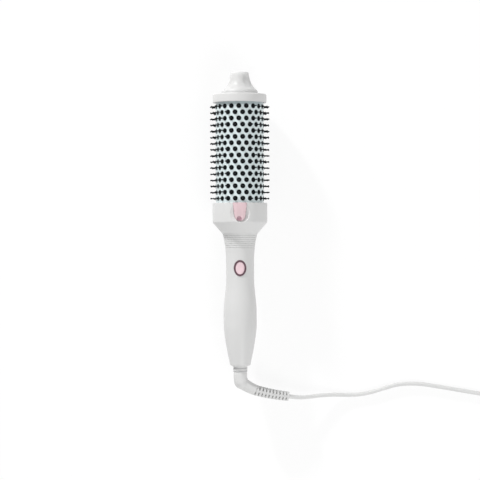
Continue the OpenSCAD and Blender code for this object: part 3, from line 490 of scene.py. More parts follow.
def soften(mesh, angle=SHARP):
    """Smooth shading, kept sharp where two faces meet at more than an angle"""
    mesh.polygons.foreach_set("use_smooth", [True] * len(mesh.polygons))
    mesh.set_sharp_from_angle(angle=math.radians(angle))
    mesh.update()


def apply_shape(made, angle=SHARP):
    """Turns an object with its modifiers into a plain mesh"""
    bpy.context.view_layer.update()
    graph = bpy.context.evaluated_depsgraph_get()
    mesh = bpy.data.meshes.new_from_object(made.evaluated_get(graph), depsgraph=graph)
    made.modifiers.clear()
    old = made.data
    made.data = mesh
    mesh.name = old.name
    if not old.users:
        bpy.data.meshes.remove(old)
    soften(mesh, angle)
    return made


def lathe(profile, segments=128, start=0.0, sweep=360.0, dip=0.0):
    """Points and faces of a closed profile turned round the brush axis.

    The profile is a loop of (station, radius). Angles run from up towards +X. A sweep short
    of a full turn gets end faces, and its edges are let in by dip."""
    whole = abs(sweep - 360.0) < 1e-6
    columns = segments if whole else segments + 1
    points, faces = [], []
    n = len(profile)
    for c in range(columns):
        angle = math.radians(start + sweep * c / segments)
        edge = dip if not whole and c in (0, columns - 1) else 0.0
        for station, radius in profile:
            r = max(radius - edge, 0.0)
            points.append((r * math.sin(angle), station, AXIS_Z + r * math.cos(angle)))
    for c in range(segments):
        here, there = c * n, ((c + 1) % columns) * n
        for k in range(n):
            j = (k + 1) % n
            faces.append((here + k, here + j, there + j, there + k))
    if not whole:
        faces.append(tuple(range(n)))
        faces.append(tuple(range((columns - 1) * n, columns * n))[::-1])
    return points, faces


def turned_piece(name, profile, finish, angle=SHARP, **turn):
    made = new_piece(name, *lathe(profile, **turn), finish)
    recalc(made.data)
    soften(made.data, angle)
    return made


def rounded(corners, radii, steps=5):
    """Closed loop through corners, each rounded with its radius"""
    loop = []
    n = len(corners)
    for i, corner in enumerate(corners):
        before, after = Vector(corners[i - 1]), Vector(corners[(i + 1) % n])
        here, radius = Vector(corner), radii[i]
        if radius <= 0:
            loop.append(tuple(here))
            continue
        a, b = (before - here), (after - here)
        cut = min(radius, a.length * 0.45, b.length * 0.45)
        p, q = here + a.normalized() * cut, here + b.normalized() * cut
        for k in range(steps + 1):
            t = k / steps
            loop.append(tuple(p.lerp(here, t).lerp(here.lerp(q, t), t)))
    return loop


def smooth_path(points, spacing):
    """Points on a smooth curve through the given ones, about spacing apart"""
    pts = [Vector(p) for p in points]
    ghost = [2 * pts[0] - pts[1]] + pts + [2 * pts[-1] - pts[-2]]
    path = []
    for i in range(1, len(ghost) - 2):
        p0, p1, p2, p3 = ghost[i - 1:i + 3]
        steps = max(1, round((p2 - p1).length / spacing))
        d0, d1, d2 = (max((b - a).length, 1e-6) ** 0.5 for a, b in ((p0, p1), (p1, p2), (p2, p3)))
        m1 = (p1 - p0) / d0 - (p2 - p0) / (d0 + d1) + (p2 - p1) / d1
        m2 = (p2 - p1) / d1 - (p3 - p1) / (d1 + d2) + (p3 - p2) / d2
        m1, m2 = m1 * d1, m2 * d1
        for k in range(steps):
            t = k / steps
            path.append(p1 * (2 * t ** 3 - 3 * t ** 2 + 1) + m1 * (t ** 3 - 2 * t ** 2 + t)
                        + p2 * (-2 * t ** 3 + 3 * t ** 2) + m2 * (t ** 3 - t ** 2))
    path.append(pts[-1])
    return path


def tube(path, radii, sides=16):
    """Points and faces of a closed tube along a path, without twist"""
    points, faces = [], []
    n = len(path)
    up = Vector((0, 0, 1))
    tangent = (path[1] - path[0]).normalized()
    side = tangent.cross(up).normalized()
    for i, centre in enumerate(path):
        tangent = (path[min(i + 1, n - 1)] - path[max(i - 1, 0)]).normalized()
        side = (side - tangent * side.dot(tangent)).normalized()
        other = tangent.cross(side)
        radius = radii[i] if hasattr(radii, "__len__") else radii
        for k in range(sides):
            a = 2 * math.pi * k / sides
            points.append(tuple(centre + radius * (math.cos(a) * side + math.sin(a) * other)))
    for i in range(n - 1):
        for k in range(sides):
            a, b = i * sides + k, i * sides + (k + 1) % sides
            faces.append((a, b, b + sides, a + sides))
    faces.append(tuple(range(sides))[::-1])
    faces.append(tuple(range((n - 1) * sides, n * sides)))
    return points, faces


def tube_piece(name, path, radii, finish, sides=16):
    made = new_piece(name, *tube(path, radii, sides), finish)
    recalc(made.data)
    soften(made.data, 50)
    return made


def prism(name, outline, low, high):
    """Upright prism over an outline, heights from the brush axis. It is a cutter"""
    n = len(outline)
    points = [(x, y, AXIS_Z + z) for z in (low, high) for x, y in outline]
    faces = [tuple(range(n))[::-1], tuple(range(n, 2 * n))]
    faces += [(k, (k + 1) % n, n + (k + 1) % n, n + k) for k in range(n)]
    made = new_piece(name, points, faces, None)
    recalc(made.data)
    return made


def ball(name, centre, radius, squeeze=(1, 1, 1), segments=48):
    """Ball or egg. It is a cutter"""
    points, faces = [], []
    rings = segments // 2
    for i in range(1, rings):
        a = math.pi * i / rings
        for k in range(segments):
            b = 2 * math.pi * k / segments
            points.append((centre[0] + radius * squeeze[0] * math.sin(a) * math.cos(b),
                           centre[1] + radius * squeeze[1] * math.sin(a) * math.sin(b),
                           centre[2] + radius * squeeze[2] * math.cos(a)))
    for i in range(rings - 2):
        for k in range(segments):
            a, b = i * segments + k, i * segments + (k + 1) % segments
            faces.append((a, a + segments, b + segments, b))
    for pole, row in ((1, 0), (-1, rings - 2)):
        points.append((centre[0], centre[1], centre[2] + pole * radius * squeeze[2]))
        for k in range(segments):
            a, b = row * segments + k, row * segments + (k + 1) % segments
            faces.append((a, b, len(points) - 1))
    made = new_piece(name, points, faces, None)
    recalc(made.data)
    return made


def cut(made, *cutters):
    """Takes the cutters out of a piece, and removes them"""
    for cutter in cutters:
        step = made.modifiers.new("Cut", "BOOLEAN")
        step.operation = "DIFFERENCE"
        step.solver = "EXACT"
        step.object = cutter
    apply_shape(made)
    for cutter in cutters:
        mesh = cutter.data
        bpy.data.objects.remove(cutter)
        bpy.data.meshes.remove(mesh)
    return made


def round_edges(made, width, angle=32.0, segments=3, shading=SHARP):
    step = made.modifiers.new("Rounding", "BEVEL")
    step.width = width
    step.segments = segments
    step.limit_method = "ANGLE"
    step.angle_limit = math.radians(angle)
    step.use_clamp_overlap = True
    return apply_shape(made, shading)


def copy_of(node, name, finish):
    """Merged copy of a CAD node's mesh, with its flat faces whole"""
    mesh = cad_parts[node].data.copy()
    mesh.name = name
    work = bmesh.new()
    work.from_mesh(mesh)
    bmesh.ops.remove_doubles(work, verts=work.verts, dist=2e-6)
    bmesh.ops.dissolve_limit(work, angle_limit=math.radians(1.0), verts=work.verts, edges=work.edges)
    work.to_mesh(mesh)
    work.free()
    return link_piece(name, mesh, finish)


def join_into(made, others):
    """Adds the meshes of other objects to a piece, and removes those objects"""
    work = bmesh.new()
    for one in (made, *others):
        work.from_mesh(one.data)
    work.to_mesh(made.data)
    work.free()
    for one in others:
        mesh = one.data
        bpy.data.objects.remove(one)
        bpy.data.meshes.remove(mesh)
    return made


def settle(made, body, slot, *nodes):
    """Puts a finished piece on its body, in the place of CAD nodes"""
    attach(made, body)
    if nodes:
        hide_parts(*nodes)
    return made


def grow(name, tree, values, points=(), faces=(), edges=()):
    """Plain mesh object from a Geometry Nodes tree and its named values"""
    mesh = bpy.data.meshes.new(name)
    mesh.from_pydata([to_metres(p) for p in points], list(edges), list(faces))
    made = link_piece(name, mesh, None)
    step = made.modifiers.new("Shape", "NODES")
    step.node_group = tree
    for item in tree.interface.items_tree:
        if item.item_type == "SOCKET" and item.in_out == "INPUT" and item.name in values:
            step[item.identifier] = values[item.name]
    return apply_shape(made, 40)


# Geometry Nodes trees

def close_tree(net, out, geometry, material):
    """Ends a tree in real geometry with its material"""
    real = net.node("GeometryNodeRealizeInstances", {"Geometry": geometry}).outputs[0]
    net.put(out["Geometry"], net.node("GeometryNodeSetMaterial", {
        "Geometry": real, "Material": material}).outputs[0])


def shifted(net, geometry, offset):
    return net.node("GeometryNodeTransform", {"Geometry": geometry, "Translation": offset}).outputs[0]


def joined(net, *parts):
    made = net.node("GeometryNodeJoinGeometry")
    for part in parts:
        net.tree.links.new(part, made.inputs[0])
    return made.outputs[0]


PATTERN = [("Geometry", GEOMETRY, None), ("First column", INTEGER, 0), ("Columns", INTEGER, 4),
           ("Rows", INTEGER, 8), ("Column pitch", FLOAT, 0.157), ("Phase", FLOAT, 0.0),
           ("First row", FLOAT, 0.0), ("Row pitch", FLOAT, 0.0064), ("Axis height", FLOAT, 0.03),
           ("Barrel radius", FLOAT, 0.025)]


def pattern_fields(net, given):
    """Staggered places on the barrel: how many, their station and their angle from up"""
    index = net.node("GeometryNodeInputIndex").outputs[0]
    column = net.math("ADD", net.math("FLOOR", net.math("DIVIDE", index, given["Rows"])),
                      given["First column"])
    row = net.math("MODULO", index, given["Rows"])
    step = net.math("ADD", net.math("MULTIPLY", row, 2.0), net.math("MODULO", column, 2.0))
    station = net.math("MULTIPLY_ADD", step, given["Row pitch"], given["First row"])
    angle = net.math("MULTIPLY_ADD", column, given["Column pitch"], given["Phase"])
    count = net.math("MULTIPLY", given["Columns"], given["Rows"])
    return count, station, angle


def bristle_tree():
    """Backing strip with a domed foot, a tapered bristle and a ball at each place"""
    tree, net, given, out = new_group("GeometryNodeTree", "Bristle strip", PATTERN + [
        ("Foot radius", FLOAT, 0.0225), ("Foot width", FLOAT, 0.0045), ("Foot height", FLOAT, 0.0005),
        ("Bristle width", FLOAT, 0.0016), ("Reach", FLOAT, 0.0063), ("Ball width", FLOAT, 0.0021),
        ("Lean", FLOAT, 0.05), ("Seed", INTEGER, 1), ("Material", MATERIAL, None)],
        [("Geometry", GEOMETRY)])
    count, station, angle = pattern_fields(net, given)
    half_foot = net.math("MULTIPLY", given["Foot width"], 0.5)
    rise = net.math("SUBTRACT", net.math("ADD", given["Barrel radius"], given["Foot height"]),
                    given["Foot radius"])
    neck = net.math("MULTIPLY", half_foot, 0.86)
    foot = net.node("GeometryNodeMeshCone", {
        "Vertices": 14, "Radius Bottom": neck, "Radius Top": neck, "Depth": rise})
    # Flange that laps over the edge of the perforation
    flange = net.node("GeometryNodeMeshCone", {
        "Vertices": 16, "Radius Bottom": half_foot, "Radius Top": neck,
        "Depth": given["Foot height"]})
    dome = net.node("GeometryNodeMeshCone", {
        "Vertices": 16, "Radius Bottom": neck, "Radius Top": net.math("MULTIPLY", half_foot, 0.36),
        "Depth": 0.00035})
    foot_top = net.math("ADD", given["Foot radius"], rise)
    feet = joined(net, shifted(net, foot.outputs["Mesh"], net.vector(z=given["Foot radius"])),
                  shifted(net, flange.outputs["Mesh"], net.vector(z=given["Barrel radius"])),
                  shifted(net, dome.outputs["Mesh"], net.vector(z=foot_top)))
    on_axis = net.node("GeometryNodePoints", {
        "Count": count, "Position": net.vector(y=station, z=given["Axis height"])}).outputs[0]
    upright = net.vector(y=angle)
    feet_on = net.node("GeometryNodeInstanceOnPoints", {
        "Points": on_axis, "Instance": feet, "Rotation": upright}).outputs[0]

    half_ball = net.math("MULTIPLY", given["Ball width"], 0.5)
    stem_len = net.math("SUBTRACT", given["Reach"], half_ball)
    stem = net.node("GeometryNodeMeshCone", {
        "Vertices": 8, "Radius Bottom": net.math("MULTIPLY", given["Bristle width"], 0.5),
        "Radius Top": net.math("MULTIPLY", given["Bristle width"], 0.34), "Depth": stem_len})
    end = net.node("GeometryNodeMeshUVSphere", {"Segments": 8, "Rings": 6, "Radius": half_ball})
    bristle = joined(net, stem.outputs["Mesh"], shifted(net, end.outputs["Mesh"], net.vector(z=stem_len)))
    across, upward = net.math("SINE", angle), net.math("COSINE", angle)
    on_skin = net.node("GeometryNodePoints", {
        "Count": count, "Position": net.vector(
            net.math("MULTIPLY", across, given["Barrel radius"]), station,
            net.math("MULTIPLY_ADD", upward, given["Barrel radius"], given["Axis height"]))}).outputs[0]
    chance = net.node("FunctionNodeRandomValue", data_type="FLOAT_VECTOR")
    low = net.math("MULTIPLY", given["Lean"], -1.0)
    net.put(chance.inputs["Min"], net.vector(low, low, 0.0))
    net.put(chance.inputs["Max"], net.vector(given["Lean"], given["Lean"], 0.0))
    net.put(chance.inputs["Seed"], given["Seed"])
    tilt = net.node("ShaderNodeSeparateXYZ", {"Vector": chance.outputs["Value"]})
    leaning = net.vector(tilt.outputs["X"], net.math("ADD", angle, tilt.outputs["Y"]), 0.0)
    # The lowest bristles are pressed short, because the brush lies on them, and their balls' sides
    # stay above the table
    steep = net.math("MAXIMUM", net.math("MULTIPLY", upward, -1.0), 0.2)
    above = net.math("SUBTRACT", given["Axis height"], 0.0005)
    room = net.math("SUBTRACT", net.math("DIVIDE", above, steep), given["Barrel radius"])
    press = net.math("MINIMUM", net.math("DIVIDE", room, given["Reach"]), 1.0)
    bristles_on = net.node("GeometryNodeInstanceOnPoints", {
        "Points": on_skin, "Instance": bristle, "Rotation": leaning,
        "Scale": net.vector(1.0, 1.0, press)}).outputs[0]
    close_tree(net, out, joined(net, given["Geometry"], feet_on, bristles_on), given["Material"])
    return tree


def lip_tree():
    """Rolled lip round each perforation of the barrel"""
    tree, net, given, out = new_group("GeometryNodeTree", "Perforation lips", PATTERN + [
        ("Lip radius", FLOAT, 0.0024), ("Lip width", FLOAT, 0.0004), ("Material", MATERIAL, None)],
        [("Geometry", GEOMETRY)])
    count, station, angle = pattern_fields(net, given)
    circle = net.node("GeometryNodeCurvePrimitiveCircle", {"Resolution": 16, "Radius": given["Lip radius"]})
    wire = net.node("GeometryNodeCurvePrimitiveCircle", {
        "Resolution": 5, "Radius": net.math("MULTIPLY", given["Lip width"], 0.5)})
    lip = net.node("GeometryNodeCurveToMesh", {
        "Curve": circle.outputs["Curve"], "Profile Curve": wire.outputs["Curve"]}).outputs[0]
    lip = shifted(net, lip, net.vector(z=given["Barrel radius"]))
    places = net.node("GeometryNodePoints", {
        "Count": count, "Position": net.vector(y=station, z=given["Axis height"])}).outputs[0]
    lips = net.node("GeometryNodeInstanceOnPoints", {
        "Points": places, "Instance": lip, "Rotation": net.vector(y=angle)}).outputs[0]
    close_tree(net, out, lips, given["Material"])
    return tree


def guard_tree():
    """Slotted cord guard: ribs along a line, tied by four rails round a soft core"""
    tree, net, given, out = new_group("GeometryNodeTree", "Slotted guard", [
        ("Geometry", GEOMETRY, None), ("Ribs", INTEGER, 10), ("Start radius", FLOAT, 0.0055),
        ("End radius", FLOAT, 0.0047), ("Rib share", FLOAT, 0.62), ("Core share", FLOAT, 0.5),
        ("Rail width", FLOAT, 0.0022), ("Length", FLOAT, 0.0375), ("Material", MATERIAL, None)],
        [("Geometry", GEOMETRY)])
    line = net.node("GeometryNodeMeshToCurve", {"Mesh": given["Geometry"]}).outputs[0]
    along = net.node("GeometryNodeSplineParameter").outputs["Factor"]
    shrink = net.math("SUBTRACT", given["End radius"], given["Start radius"])
    radius = net.math("MULTIPLY_ADD", along, shrink, given["Start radius"])
    pitch = net.math("DIVIDE", given["Length"], given["Ribs"])
    rib_len = net.math("MULTIPLY", pitch, given["Rib share"])
    # One station in the middle of each rib
    first = net.math("DIVIDE", 0.5, given["Ribs"])
    trimmed = net.node("GeometryNodeTrimCurve", {
        "Curve": line, "Start": first, "End": net.math("SUBTRACT", 1.0, first)}).outputs[0]
    stations = net.node("GeometryNodeCurveToPoints", {"Curve": trimmed, "Count": given["Ribs"]})
    rank = net.math("DIVIDE", net.node("GeometryNodeInputIndex").outputs[0],
                    net.math("SUBTRACT", given["Ribs"], 1.0))
    size = net.math("MULTIPLY_ADD", rank, shrink, given["Start radius"])
    body = net.node("GeometryNodeMeshCylinder", {
        "Vertices": 28, "Radius": 1.0, "Depth": net.math("MULTIPLY", rib_len, 0.7)}).outputs["Mesh"]
    rim = net.node("GeometryNodeMeshCylinder", {
        "Vertices": 28, "Radius": 0.955, "Depth": rib_len}).outputs["Mesh"]
    ribs = net.node("GeometryNodeInstanceOnPoints", {
        "Points": stations.outputs["Points"], "Instance": joined(net, body, rim),
        "Rotation": stations.outputs["Rotation"], "Scale": net.vector(size, size, 1.0)}).outputs[0]
    sized = net.node("GeometryNodeSetCurveRadius", {"Curve": line, "Radius": radius}).outputs[0]
    level = net.node("GeometryNodeSetCurveNormal", {"Curve": sized}, mode="Z_UP").outputs[0]
    ring = net.node("GeometryNodeCurvePrimitiveCircle", {"Resolution": 24, "Radius": given["Core share"]})
    core = net.node("GeometryNodeCurveToMesh", {
        "Curve": level, "Profile Curve": ring.outputs["Curve"], "Scale": radius,
        "Fill Caps": True}).outputs[0]
    rails = []
    for turn in range(4):
        angle = math.pi / 2 * turn
        bar = net.node("GeometryNodeCurvePrimitiveQuadrilateral", {
            "Width": net.math("DIVIDE", given["Rail width"], given["Start radius"]), "Height": 0.4})
        placed = net.node("GeometryNodeTransform", {
            "Geometry": bar.outputs["Curve"], "Rotation": (0, 0, angle),
            "Translation": (-0.76 * math.sin(angle), 0.76 * math.cos(angle), 0)}).outputs[0]
        rails.append(net.node("GeometryNodeCurveToMesh", {
            "Curve": level, "Profile Curve": placed, "Scale": radius, "Fill Caps": True}).outputs[0])
    close_tree(net, out, joined(net, core, ribs, *rails), given["Material"])
    return tree


def ridge_tree():
    """Row of rounded ridges from the first point of the base to its second"""
    tree, net, given, out = new_group("GeometryNodeTree", "Grip ridges", [
        ("Geometry", GEOMETRY, None), ("Count", INTEGER, 5), ("Size", VECTOR, (0.01, 0.001, 0.0008)),
        ("Material", MATERIAL, None)], [("Geometry", GEOMETRY)])
    line = net.node("GeometryNodeMeshToCurve", {"Mesh": given["Geometry"]}).outputs[0]
    stations = net.node("GeometryNodeResampleCurve", {"Curve": line, "Count": given["Count"]}).outputs[0]
    ridge = net.node("GeometryNodeMeshUVSphere", {
        "Segments": 16, "Rings": 8, "Radius": 1.0}).outputs["Mesh"]
    ridges = net.node("GeometryNodeInstanceOnPoints", {
        "Points": stations, "Instance": ridge, "Scale": given["Size"]}).outputs[0]
    close_tree(net, out, ridges, given["Material"])
    return tree


# Lines shared by several pieces, in millimetres

def handle_radius(s):
    """Radius of the handle at a distance s from the neck"""
    if s < WAIST_AT:
        return WAIST_R + (NECK_R - WAIST_R) * (1 - s / WAIST_AT) ** 2.5
    if s < WAIST_TO:
        return WAIST_R
    if s < GRIP_AT:
        t = (s - WAIST_TO) / (GRIP_AT - WAIST_TO)
        return WAIST_R + (GRIP_R - WAIST_R) * (1 - math.cos(math.pi * t)) / 2
    if s < GRIP_TO:
        return GRIP_R
    t = min(1.0, (s - GRIP_TO) / (HANDLE_LEN - END_ROUND - GRIP_TO))
    return GRIP_R - (GRIP_R - END_R) * t ** 1.35


def tongue_outline(grow_by):
    """Outline of the release tongue, from above, grown all round"""
    half, end = TONGUE_HALF + grow_by, TONGUE_END + grow_by
    h = TONGUE_LEN - TONGUE_END + 2 * grow_by
    t = math.atan2(h, half) - math.acos(end / math.hypot(half, h))
    centre = HEAD + 2 * grow_by - h
    steps = 24
    outline = [(-half, centre + h), (half, centre + h)]
    for i in range(steps + 1):
        a = t - i * (math.pi + 2 * t) / steps
        outline.append((end * math.cos(a), centre + end * math.sin(a)))
    return outline


def circle(steps):
    """Angles of evenly spaced points round a full turn"""
    return [2 * math.pi * i / steps for i in range(steps)]


def disc(x, y, radius, steps=24):
    """Outline of a round hole, from above"""
    return [(x + radius * math.cos(a), y + radius * math.sin(a)) for a in circle(steps)]


def oval(width, length):
    """Outline of the power button's window, from above"""
    return [(width / 2 * math.sin(a), POWER_Y + length / 2 * math.cos(a)) for a in circle(64)]


ELBOW = [(0, -157.5, 30.8), (0, -160.2, 30.8), (0.1, -163.8, 30.7), (1.2, -168, 30.3), (4.4, -170.8, 29.8),
         (9.5, -173.9, 28.9), (15.5, -176.8, 27.8)]
ELBOW_R = [7.1, 7.1, 7.1, 7.6, 6.3, 6.0, 5.7]
GUARD = [(15.5, -176.8, 27.8), (26, -179.6, 25.4), (38, -182.2, 22.2), (51, -184.2, 18.2)]

# Cord, from the guard's end along the table to the coil, through the coil, and on to the plug
RUN = [(51, -184.2, 18.2), (55.73, -184.93, 16.75), (65, -185.7, 13.75), (76, -185.0, 10.57),
       (88, -184.0, 7.55), (100, -183.8, 5.0), (112, -184.1, 3.1), (125, -183.8, 2.3), (138, -181.6, 2.3),
       (152, -177.6, 2.3), (165, -173.9, 2.3), (178, -172.4, 2.3), (192, -172.8, 2.3), (206, -174.8, 2.3),
       (220, -177.2, 2.3), (240, -180.6, 2.3), (256, -183.3, 2.3), (270, -185.6, 2.5), (283, -187.3, 3.0),
       (291.2, -188, 3.3), (295.6, -188, 3.3)]
COIL_X, COIL_Y, COIL_LOW, COIL_PITCH = 300.0, -156.719, 3.3, 5.0
COIL_TURNS, COIL_LAYERS, COIL_OUT, COIL_IN = 9.25, 4, 31.281, 19.719
TAIL = [(331.281, -152.32, 18.3), (331.281, -147.92, 18.3), (331.4, -138, 16.5), (330.8, -127, 12.9),
        (330.3, -116, 9.5), (330, -108.8, 7.5), (330, -100, 7.5)]
PLUG_X, PLUG_Y, PLUG_Z = 330.0, -100.0, 7.5


def coil_point(u):
    """Point of the coil after u turns: in and out in four layers"""
    per_layer = COIL_TURNS / COIL_LAYERS
    layer = int(min(u / per_layer, COIL_LAYERS - 0.001))
    t = u / per_layer - layer
    near, far = (COIL_OUT, COIL_IN) if layer % 2 == 0 else (COIL_IN, COIL_OUT)
    r = near + (far - near) * t
    level = sum(min(max((u - k * per_layer) / 0.5 + 0.5, 0), 1) for k in (1, 2, 3))
    a = 2 * math.pi * u
    return (COIL_X + r * math.sin(a), COIL_Y - r * math.cos(a), COIL_LOW + level * COIL_PITCH)


def cord_path():
    """The whole cord as one smooth line"""
    turns = [coil_point(i / 24) for i in range(int(COIL_TURNS * 24) + 1)]
    return smooth_path(RUN + turns + TAIL, 3.0)


# Operators

class ROUNDBRUSH_OT_stage(bpy.types.Operator):
    """Makes the camera, floor, lamps and world"""
    bl_idname = "round_brush.stage"
    bl_label = "Camera and studio"

    def execute(self, context):
        stage = context.scene.round_brush_stage
        eye = bpy.data.cameras.new("Camera")
        eye.sensor_width = 36.0
        eye.angle = math.radians(CAMERA_VIEW)
        eye.clip_end = 20.0
        camera = bpy.data.objects.new("Camera", eye)
        camera.location = CAMERA_AT
        camera.rotation_euler = (0.0, 0.0, math.radians(CAMERA_TURN))
        context.scene.collection.objects.link(camera)
        context.scene.camera = camera
        context.scene.view_settings.view_transform = "Standard"

        half = 4.0
        mesh = bpy.data.meshes.new("floor")
        mesh.from_pydata([(-half, -half, -0.0002), (half, -half, -0.0002), (half, half, -0.0002),
                          (-half, half, -0.0002)], [], [(0, 1, 2, 3)])
        floor = bpy.data.objects.new("floor", mesh)
        context.scene.collection.objects.link(floor)
        mesh.materials.append(self.floor_finish(stage))
        self.light_room(context, stage)
        for name, place, size, power in (
                ("key_lamp", (-1.17, 2.02, 0.79), 0.17, stage.key_power),
                ("fill_lamp", (0.75, -1.55, 1.84), 1.4, stage.fill_power)):
            self.add_lamp(context, name, place, size, power)
        return {"FINISHED"}

    @staticmethod
    def seen(net):
        """1 for rays that show the background: camera, mirror and clear rays"""
        rays = net.node("ShaderNodeLightPath").outputs
        return net.math("MAXIMUM", rays["Is Camera Ray"], net.math(
            "MAXIMUM", rays["Is Glossy Ray"], rays["Is Transmission Ray"]))

    def floor_finish(self, stage):
        made = bpy.data.materials.new("Floor")
        made.use_nodes = True
        made.node_tree.nodes.clear()
        net = Net(made.node_tree)
        matt = net.node("ShaderNodeBsdfDiffuse", {"Color": (*stage.floor, 1)})
        white = net.node("ShaderNodeEmission", {"Color": (1, 1, 1, 1), "Strength": 1.04})
        both = net.node("ShaderNodeMixShader", {"Fac": net.math("MULTIPLY", self.seen(net), 0.82)})
        net.put(both.inputs[1], matt.outputs[0])
        net.put(both.inputs[2], white.outputs[0])
        net.node("ShaderNodeOutputMaterial", {"Surface": both.outputs[0]})
        return made

    def light_room(self, context, stage):
        world = bpy.data.worlds.new("Studio")
        context.scene.world = world
        world.use_nodes = True
        world.node_tree.nodes.clear()
        net = Net(world.node_tree)
        level = net.math("MULTIPLY_ADD", self.seen(net), 1.0 - stage.ambient, stage.ambient)
        back = net.node("ShaderNodeBackground", {"Color": (1, 1, 1, 1), "Strength": level})
        net.node("ShaderNodeOutputWorld", {"Surface": back.outputs[0]})

    def add_lamp(self, context, name, place, size, power):
        lamp = bpy.data.lights.new(name, "AREA")
        lamp.shape = "SQUARE"
        lamp.size = size
        lamp.energy = power
        made = bpy.data.objects.new(name, lamp)
        made.location = place
        aim = Vector((0, 0, 0.03)) - Vector(place)
        made.rotation_euler = aim.to_track_quat("-Z", "Y").to_euler()
        context.scene.collection.objects.link(made)


class ROUNDBRUSH_OT_cord(bpy.types.Operator):
    """Makes the elbow, slotted guard, cord, strap and plug"""
    bl_idname = "round_brush.cord"
    bl_label = "Cord and plug"

    def execute(self, context):
        sizes = context.scene.round_brush_sizes
        elbow = self.make_elbow()
        guard = self.make_guard(sizes)
        relief = join_into(elbow, [guard])
        relief.data.materials.clear()
        relief.data.materials.append(FINISHES["cord_white"])
        settle(relief, "cord_side", "cord_white", "strain_relief")

        path = [p * MM for p in cord_path()]
        line = bpy.data.curves.new("cord", "CURVE")
        line.dimensions = "3D"
        line.bevel_depth = sizes.cord_width / 2
        line.bevel_resolution = 3
        line.use_fill_caps = True
        line.use_radius = False
        run = line.splines.new("POLY")
        run.points.add(len(path) - 1)
        for point, place in zip(run.points, path):
            point.co = (*place, 1)
        run.use_smooth = True
        line.materials.append(FINISHES["cord_white"])
        cord = bpy.data.objects.new("cord", line)
        context.scene.collection.objects.link(cord)
        settle(cord, "cord_side", "cord_white", "cord_run", "cord_coil", "cord_tail")

        strap = self.make_strap()
        plug = self.make_plug()
        blades = self.make_blades()
        return {"FINISHED"}

    def make_elbow(self):
        """Smooth elbow from the swivel stub to the guard"""
        path = smooth_path(ELBOW, 1.2)
        spans = [sum((Vector(b) - Vector(a)).length for a, b in zip(ELBOW[:i], ELBOW[1:i + 1]))
                 for i in range(len(ELBOW))]
        radii, walked = [], 0.0
        for i, point in enumerate(path):
            walked += (point - path[i - 1]).length if i else 0.0
            k = max(j for j in range(len(spans) - 1) if spans[j] <= walked + 1e-6)
            t = min(1.0, (walked - spans[k]) / (spans[k + 1] - spans[k]))
            radii.append(ELBOW_R[k] + (ELBOW_R[k + 1] - ELBOW_R[k]) * t)
        radii[0] -= 0.5
        return tube_piece("strain_relief_boot", path, radii, "cord_white", 40)

    def make_guard(self, sizes):
        """Slotted guard from the elbow to the cord"""
        path = smooth_path(GUARD, 1.0)
        length = sum((b - a).length for a, b in zip(path, path[1:])) * MM
        return grow("guard", guard_tree(), {
            "Ribs": sizes.guard_ribs, "Start radius": sizes.guard_start / 2,
            "End radius": sizes.guard_end / 2, "Length": length, "Material": FINISHES["cord_white"]},
            points=path, edges=[(i, i + 1) for i in range(len(path) - 1)])

    def make_strap(self):
        """Woven strap round the bundle of turns, closed by its own overlapping end"""
        low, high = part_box("cord_tie")
        y0, y1, z0, z1 = low.y / MM, high.y / MM, low.z / MM, high.z / MM
        radius, thick, wide = 3.2, 0.8, 9.0
        loops = []
        for inset in (0.0, thick):
            corners = [(y0 + inset, z0 + inset), (y1 - inset, z0 + inset), (y1 - inset, z1 - inset),
                       (y0 + inset, z1 - inset)]
            loops.append(rounded(corners, [radius - inset] * 4, 6))
        n = len(loops[0])
        points = [(COIL_X + s * wide / 2, y, z) for s in (-1, 1) for loop in loops for y, z in loop]
        faces = []
        for k in range(n):
            j = (k + 1) % n
            faces += [(k, j, 2 * n + j, 2 * n + k), (n + k, 3 * n + k, 3 * n + j, n + j),
                      (k, n + k, n + j, j), (2 * n + k, 2 * n + j, 3 * n + j, 3 * n + k)]
        band = new_piece("cord_strap", points, faces, "tie_dark")
        recalc(band.data)
        end = new_piece("strap_end", *self.flap(y0, y1, z1, wide), "tie_dark")
        recalc(end.data)
        round_edges(end, 0.0002)
        made = join_into(band, [end])
        round_edges(made, 0.00015, 50)
        return settle(made, "cord_side", "tie_dark", "cord_tie")

    @staticmethod
    def flap(y0, y1, top, wide):
        """Overlapping end of the strap, with a rounded tip"""
        length = (y1 - y0) * 0.72
        outline = rounded([(COIL_X - wide / 2, y0 + 3), (COIL_X + wide / 2, y0 + 3),
                           (COIL_X + wide / 2, y0 + 3 + length), (COIL_X - wide / 2, y0 + 3 + length)],
                          [0, 0, 3.6, 3.6], 6)
        n = len(outline)
        points = [(x, y, z) for z in (top - 0.1, top + 0.7) for x, y in outline]
        faces = [tuple(range(n)), tuple(range(n, 2 * n))]
        faces += [(k, (k + 1) % n, n + (k + 1) % n, n + k) for k in range(n)]
        return points, faces

    def make_plug(self):
        """Plug body with rounded edges, grip ridges on its upper face and a ringed relief"""
        body = copy_of("plug_body", "mains_plug", "plug_white")
        round_edges(body, 0.0011, 28, 4)
        z = PLUG_Z + 7.4
        extras = [grow("ridges", ridge_tree(), {
            "Count": 5, "Size": (0.0085, 0.0008, 0.0007), "Material": FINISHES["plug_white"]},
            points=[(PLUG_X, PLUG_Y + 29, z), (PLUG_X, PLUG_Y + 39, z)], edges=[(0, 1)])]
